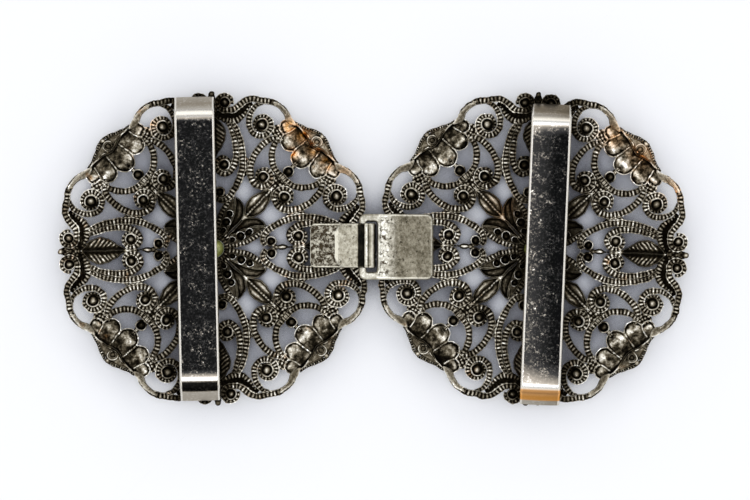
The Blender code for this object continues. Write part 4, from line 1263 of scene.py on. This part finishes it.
def make_eye_plate(steel, shift):
    """The slotted plate: level at the slot, then bent down to the dish of the medallion."""
    low = hook_level() + HOOK_THICKNESS / 2 + EYE_HOOK_GAP
    end = EYE_START + EYE_LENGTH
    seat = back_level(RADIUS + MEDALLION_GAP / 2 - end) + SEAT_GAP
    bend = EYE_START + EYE_LEVEL_LENGTH
    fall = (low - seat) / (end - bend - EYE_BEND_LENGTH / 2)
    slot_x = EYE_START + EYE_CROSSBAR
    slot_half = HOOK_WIDTH / 2 + EYE_SLOT_SIDE_GAP

    def level(x):
        past = np.clip(x - bend, 0.0, EYE_BEND_LENGTH)
        rest = np.maximum(0.0, x - bend - EYE_BEND_LENGTH)
        return low - fall * (past**2 / (2 * EYE_BEND_LENGTH) + rest)

    def surface(points, distance):
        x = points[:, 0]
        in_edge = np.clip(1 - distance / EYE_EDGE, 0, 1)
        lip = EYE_LIP * np.exp(-(((distance - 0.35) / 0.2) ** 2))
        height = level(x) + EYE_THICKNESS - EYE_EDGE_DROP * (1 - np.sqrt(1 - in_edge**2)) + lip
        # Painted light: the level part near the slot is painted lighter than the part that falls to
        # the dish, and the bright rim behind the slot is a painted highlight on the rounded edge.
        near_slot = 1 - ease(x, 1.4, 3.6)
        behind_slot = ease(x, slot_x + 1.5, slot_x + 2.1)
        rim = (1 - ease(distance, 0.3, 0.5)) * behind_slot
        wear_and_painted_light = np.maximum(0.57 + 0.22 * near_slot - 0.12 * (1 - behind_slot), rim)
        pits = (0.5 + 0.25 * near_slot) * (1 - rim) * behind_slot
        return height, np.column_stack([wear_and_painted_light, pits, np.zeros(len(points))])

    def under(points, distance):
        marks = np.tile((0.4, 0.3, 0.0), (len(points), 1))
        return level(points[:, 0]) + 0.12 * (1 - ease(distance, 0.0, 0.2)), marks

    outer = rounded_rectangle(EYE_START, end, EYE_WIDTH / 2, EYE_CORNER)
    slot = rounded_rectangle(slot_x, slot_x + EYE_SLOT_LENGTH, slot_half, EYE_SLOT_CORNER, 3)
    shell = Shell()
    add_relief(shell, [outer, slot], surface, under, 0.2, (0.06, 0.14, 0.24))
    place = (shift, EYE_SIDE_SHIFT * MM, 0)
    finished("eye_plate_sheet", shell, steel, place, 0.0, "eye_plate")


# Materials


class Nodes:
    """A tree of shader nodes. Most methods add one node and return its output."""

    def __init__(self, tree):
        self.tree = tree

    def fill(self, node, sockets):
        """Set sockets, by name or number, to values, or link them to outputs of other nodes."""
        for name, value in sockets.items():
            if isinstance(value, bpy.types.NodeSocket):
                self.tree.links.new(value, node.inputs[name])
            else:
                node.inputs[name].default_value = value

    def add(self, kind, sockets, **settings):
        node = self.tree.nodes.new("ShaderNode" + kind)
        for name, value in settings.items():
            setattr(node, name, value)
        self.fill(node, sockets)
        return node

    def noise(self, scale, detail=3.0, roughness=0.55, stretch=(1.0, 1.0, 1.0)):
        """Noise of the given number of cells a metre, by the place on the object."""
        where = self.add("NewGeometry", {}).outputs["Position"]
        scaled = self.add("VectorMath", {0: where, 1: stretch}, operation="MULTIPLY").outputs[0]
        sockets = {"Vector": scaled, "Scale": scale, "Detail": detail, "Roughness": roughness}
        return self.add("TexNoise", sockets).outputs["Fac"]

    def mark(self, name):
        return self.add("Attribute", {}, attribute_name=name).outputs["Fac"]

    def ramp(self, value, stops):
        node = self.add("ValToRGB", {"Fac": value})
        elements = node.color_ramp.elements
        while len(elements) < len(stops):
            elements.new(0.5)
        for element, (position, colour) in zip(elements, stops):
            element.position = position
            element.color = (*colour, 1.0)
        return node.outputs["Color"]

    def maths(self, operation, a, b, c=0.0, clamp=False):
        sockets = {0: a, 1: b, 2: c}
        return self.add("Math", sockets, operation=operation, use_clamp=clamp).outputs[0]

    def spread(self, value, low, high):
        """The part of a value between low and high, stretched from 0 to 1."""
        sockets = {"Value": value, "From Min": low, "From Max": high}
        return self.add("MapRange", sockets).outputs["Result"]

    def tinted(self, colour, share, tint):
        """A colour multiplied by a tint, by a share from 0 to 1."""
        sockets = {0: share, 6: colour, 7: (*tint, 1.0)}
        return self.add("Mix", sockets, data_type="RGBA", blend_type="MULTIPLY").outputs[2]


def grey(value):
    return (value, value, value)


def new_material(name):
    material = bpy.data.materials.new(name)
    material.use_nodes = True
    return material, Nodes(material.node_tree), material.node_tree.nodes["Principled BSDF"]


def make_metal(nodes, shader, level, colour, rough_stops, height, strength, depth):
    """Metal of a colour, as smooth as its level says, with a slightly uneven surface."""
    uneven = nodes.add("Bump", {"Height": height, "Strength": strength, "Distance": depth})
    sockets = {
        "Base Color": colour,
        "Specular Tint": colour,
        "Roughness": nodes.ramp(level, rough_stops),
        "Metallic": 1.0,
        "Normal": uneven.outputs["Normal"],
    }
    nodes.fill(shader, sockets)


# Tones of the metals, from the deepest tarnish to bare metal
FILIGREE_STOPS = (
    (0.0, (0.004, 0.003, 0.002)),
    (0.25, (0.018, 0.0145, 0.0085)),
    (0.5, (0.112, 0.093, 0.062)),
    (0.75, (0.4, 0.362, 0.284)),
    (1.0, (0.95, 0.92, 0.83)),
)
FILIGREE_ROUGH = ((0.0, grey(0.7)), (0.5, grey(0.45)), (1.0, grey(0.26)))
STEEL_STOPS = (
    (0.0, (0.006, 0.006, 0.005)),
    (0.2, (0.024, 0.021, 0.015)),
    (0.45, (0.155, 0.138, 0.098)),
    (0.7, (0.36, 0.335, 0.265)),
    (1.0, (0.75, 0.73, 0.63)),
)
STEEL_ROUGH = ((0.0, grey(0.6)), (1.0, grey(0.3)))
BAR_STOPS = (
    (0.0, grey(0.003)),
    (0.3, (0.03, 0.029, 0.027)),
    (0.62, (0.26, 0.225, 0.175)),
    (1.0, (0.9, 0.87, 0.8)),
)
BAR_ROUGH = ((0.0, grey(0.42)), (0.5, grey(0.34)), (1.0, grey(0.22)))
FILIGREE_COPPER = (0.95, 0.46, 0.08)
BAR_COPPER = (1.0, 0.56, 0.24)
PIT_TINT = (0.1, 0.08, 0.06)


def filigree_material():
    """Cast metal: black-brown in the recesses, olive between, worn silver on the ridges."""
    material, nodes, shader = new_material("filigree")
    fine = nodes.noise(2400.0, 4.0, 0.7)
    mottling = nodes.maths("MULTIPLY", nodes.spread(nodes.noise(230.0), 0.35, 0.65), 0.2)
    grain = nodes.maths("MULTIPLY", nodes.spread(fine, 0.3, 0.7), 0.36)
    level = nodes.maths("ADD", nodes.mark("wear_and_painted_light"), nodes.maths("ADD", mottling, grain))
    blotches = nodes.spread(nodes.noise(900.0, 4.0, 0.65), 0.3, 0.7)
    blotches = nodes.maths("MULTIPLY", nodes.maths("SUBTRACT", blotches, 0.55), nodes.mark("pits"))
    level = nodes.maths("MULTIPLY_ADD", blotches, 0.8, level)
    level = nodes.maths("MULTIPLY_ADD", nodes.mark("copper"), 0.26, level)
    level = nodes.maths("SUBTRACT", level, 0.28, clamp=True)
    patches = nodes.spread(nodes.noise(420.0, 2.0), 0.3, 0.5)
    copper = nodes.maths("MULTIPLY", nodes.mark("copper"), patches)
    specks = nodes.spread(nodes.noise(330.0, 4.0, 0.7), 0.6, 0.72)
    share = nodes.maths("MAXIMUM", copper, nodes.maths("MULTIPLY", specks, 0.6))
    colour = nodes.tinted(nodes.ramp(level, FILIGREE_STOPS), share, FILIGREE_COPPER)
    make_metal(nodes, shader, level, colour, FILIGREE_ROUGH, fine, 0.4, 0.00008)
    return material


def worn_steel_material():
    """Hook and eye plate: their marks choose the tone, and dark pits show where they are marked."""
    material, nodes, shader = new_material("worn_steel")
    fine = nodes.noise(1500.0, 5.0, 0.8)
    brushed = nodes.noise(2300.0, 4.0, 0.75, (1.0, 0.75, 1.0))
    level = nodes.maths("MULTIPLY_ADD", nodes.noise(300.0, 5.0, 0.7), 0.8, nodes.mark("wear_and_painted_light"))
    level = nodes.maths("MULTIPLY_ADD", brushed, 0.9, level)
    level = nodes.maths("SUBTRACT", level, 0.85, clamp=True)
    pitted = nodes.maths("MULTIPLY_ADD", nodes.mark("pits"), 0.25, fine)
    pitted = nodes.spread(pitted, 0.68, 0.76)
    colour = nodes.tinted(nodes.ramp(level, STEEL_STOPS), pitted, PIT_TINT)
    make_metal(nodes, shader, level, colour, STEEL_ROUGH, fine, 0.25, 0.00006)
    return material


def dark_steel_material():
    """Bars: nearly black with fine light specks on the flat, worn bare steel at the edges, and
    painted highlights on edges and bends.
    """
    material, nodes, shader = new_material("dark_steel")
    fine = nodes.noise(3000.0, 4.0, 0.8)
    specks = nodes.maths("MULTIPLY", nodes.spread(fine, 0.5, 0.76), nodes.mark("pits"))
    specks = nodes.maths("MULTIPLY", specks, nodes.spread(nodes.noise(700.0), 0.25, 0.7))
    level = nodes.maths("MULTIPLY_ADD", specks, 1.2, nodes.mark("wear_and_painted_light"))
    colour = nodes.tinted(nodes.ramp(level, BAR_STOPS), nodes.mark("copper"), BAR_COPPER)
    make_metal(nodes, shader, level, colour, BAR_ROUGH, fine, 0.15, 0.00005)
    return material


def stone_material():
    material, nodes, shader = new_material("stone")
    stops = ((0.3, (0.2, 0.22, 0.03)), (0.7, (0.6, 0.62, 0.2)))
    colour = nodes.ramp(nodes.noise(900.0), stops)
    sockets = {"Base Color": colour, "Roughness": 0.2, "IOR": 1.55, "Transmission Weight": 0.2}
    nodes.fill(shader, sockets)
    return material


FLOOR_SIZE = 6.0
FLOOR_SHADE_REACH = 0.012
FLOOR_STOPS = (
    (0.2, (0.17, 0.17, 0.19)),
    (0.3, (0.38, 0.38, 0.42)),
    (0.36, (0.8, 0.83, 0.92)),
    (0.42, (0.97, 0.98, 1.0)),
    (0.75, (0.92, 0.93, 0.96)),
    (1.0, (0.84, 0.85, 0.87)),
)


def floor_material():
    """A pale floor, a little darker and bluer where little light reaches it."""
    material, nodes, shader = new_material("floor")
    shade = nodes.add("AmbientOcclusion", {"Distance": FLOOR_SHADE_REACH}, samples=12)
    mottled = nodes.maths("MULTIPLY_ADD", nodes.noise(3.0), 0.02, shade.outputs["AO"])
    nodes.fill(shader, {"Base Color": nodes.ramp(mottled, FLOOR_STOPS), "Roughness": 0.8})
    return material


# Camera: the photo's middle and scale, seen from straight above
MM_PER_PIXEL = 0.1592
PHOTO_SIZE = (750, 500)
PHOTO_MIDDLE = (373.25, 248.7)
CAMERA_HEIGHT = 1.8
CAMERA_ROLL = math.radians(0.1)
SENSOR_WIDTH = 36.0
VIEW_LEVEL = 0.004


def make_camera():
    data = bpy.data.cameras.new("camera")
    data.sensor_width = SENSOR_WIDTH
    view_width = PHOTO_SIZE[0] * MM_PER_PIXEL * MM
    data.lens = SENSOR_WIDTH * (CAMERA_HEIGHT - VIEW_LEVEL) / view_width
    camera = bpy.data.objects.new("camera", data)
    x = (PHOTO_SIZE[0] / 2 - PHOTO_MIDDLE[0]) * MM_PER_PIXEL * MM
    y = (PHOTO_MIDDLE[1] - PHOTO_SIZE[1] / 2) * MM_PER_PIXEL * MM
    camera.location = (x, y, CAMERA_HEIGHT)
    camera.rotation_euler = (0, 0, CAMERA_ROLL)
    bpy.context.scene.collection.objects.link(camera)
    bpy.context.scene.camera = camera


def make_floor():
    mesh = bpy.data.meshes.new("floor")
    side = FLOOR_SIZE / 2
    corners = [(-side, -side, 0), (side, -side, 0), (side, side, 0), (-side, side, 0)]
    mesh.from_pydata(corners, [], [(0, 1, 2, 3)])
    mesh.materials.append(floor_material())
    floor = bpy.data.objects.new("floor", mesh)
    bpy.context.scene.collection.objects.link(floor)
    floor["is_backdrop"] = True


# Soft light by height above the horizon: a dim foot, bright sides, and a small bluish bright zenith
SKY_STOPS = (
    (0.0, (0.05, 0.05, 0.055)),
    (0.2, (0.13, 0.13, 0.132)),
    (0.45, (0.21, 0.208, 0.204)),
    (0.75, (0.245, 0.243, 0.238)),
    (0.84, (0.17, 0.17, 0.172)),
    (0.9, (0.105, 0.107, 0.112)),
    (0.955, (0.12, 0.123, 0.132)),
    (0.985, (0.53, 0.55, 0.6)),
    (1.0, (0.88, 0.91, 1.0)),
)
SKY_STRENGTH = 5.6


def make_sky():
    world = bpy.data.worlds.new("studio")
    bpy.context.scene.world = world
    world.use_nodes = True
    nodes = Nodes(world.node_tree)
    where = nodes.add("TexCoord", {}).outputs["Generated"]
    height = nodes.add("SeparateXYZ", {0: where}).outputs["Z"]
    sockets = {"Color": nodes.ramp(height, SKY_STOPS), "Strength": SKY_STRENGTH}
    nodes.fill(world.node_tree.nodes["Background"], sockets)
    bpy.context.scene.view_settings.view_transform = "Standard"


def plain(box):
    return [[float(value) for value in corner] for corner in box]


def main():
    make_camera()
    make_floor()
    make_sky()
    make_medallions(filigree_material())
    dark = dark_steel_material()
    worn = worn_steel_material()
    for side in SIDES:
        make_bar(side, dark)
    shift = (middle_of("stone_left")[0] + middle_of("stone_right")[0]) / 2
    make_hook(worn, shift)
    make_eye_plate(worn, shift)
    glass = stone_material()
    for side in SIDES:
        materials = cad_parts["stone_" + side].data.materials
        materials.clear()
        materials.append(glass)


main()
{"cad": plain(CAD_BOX), "visual": plain(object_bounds())}
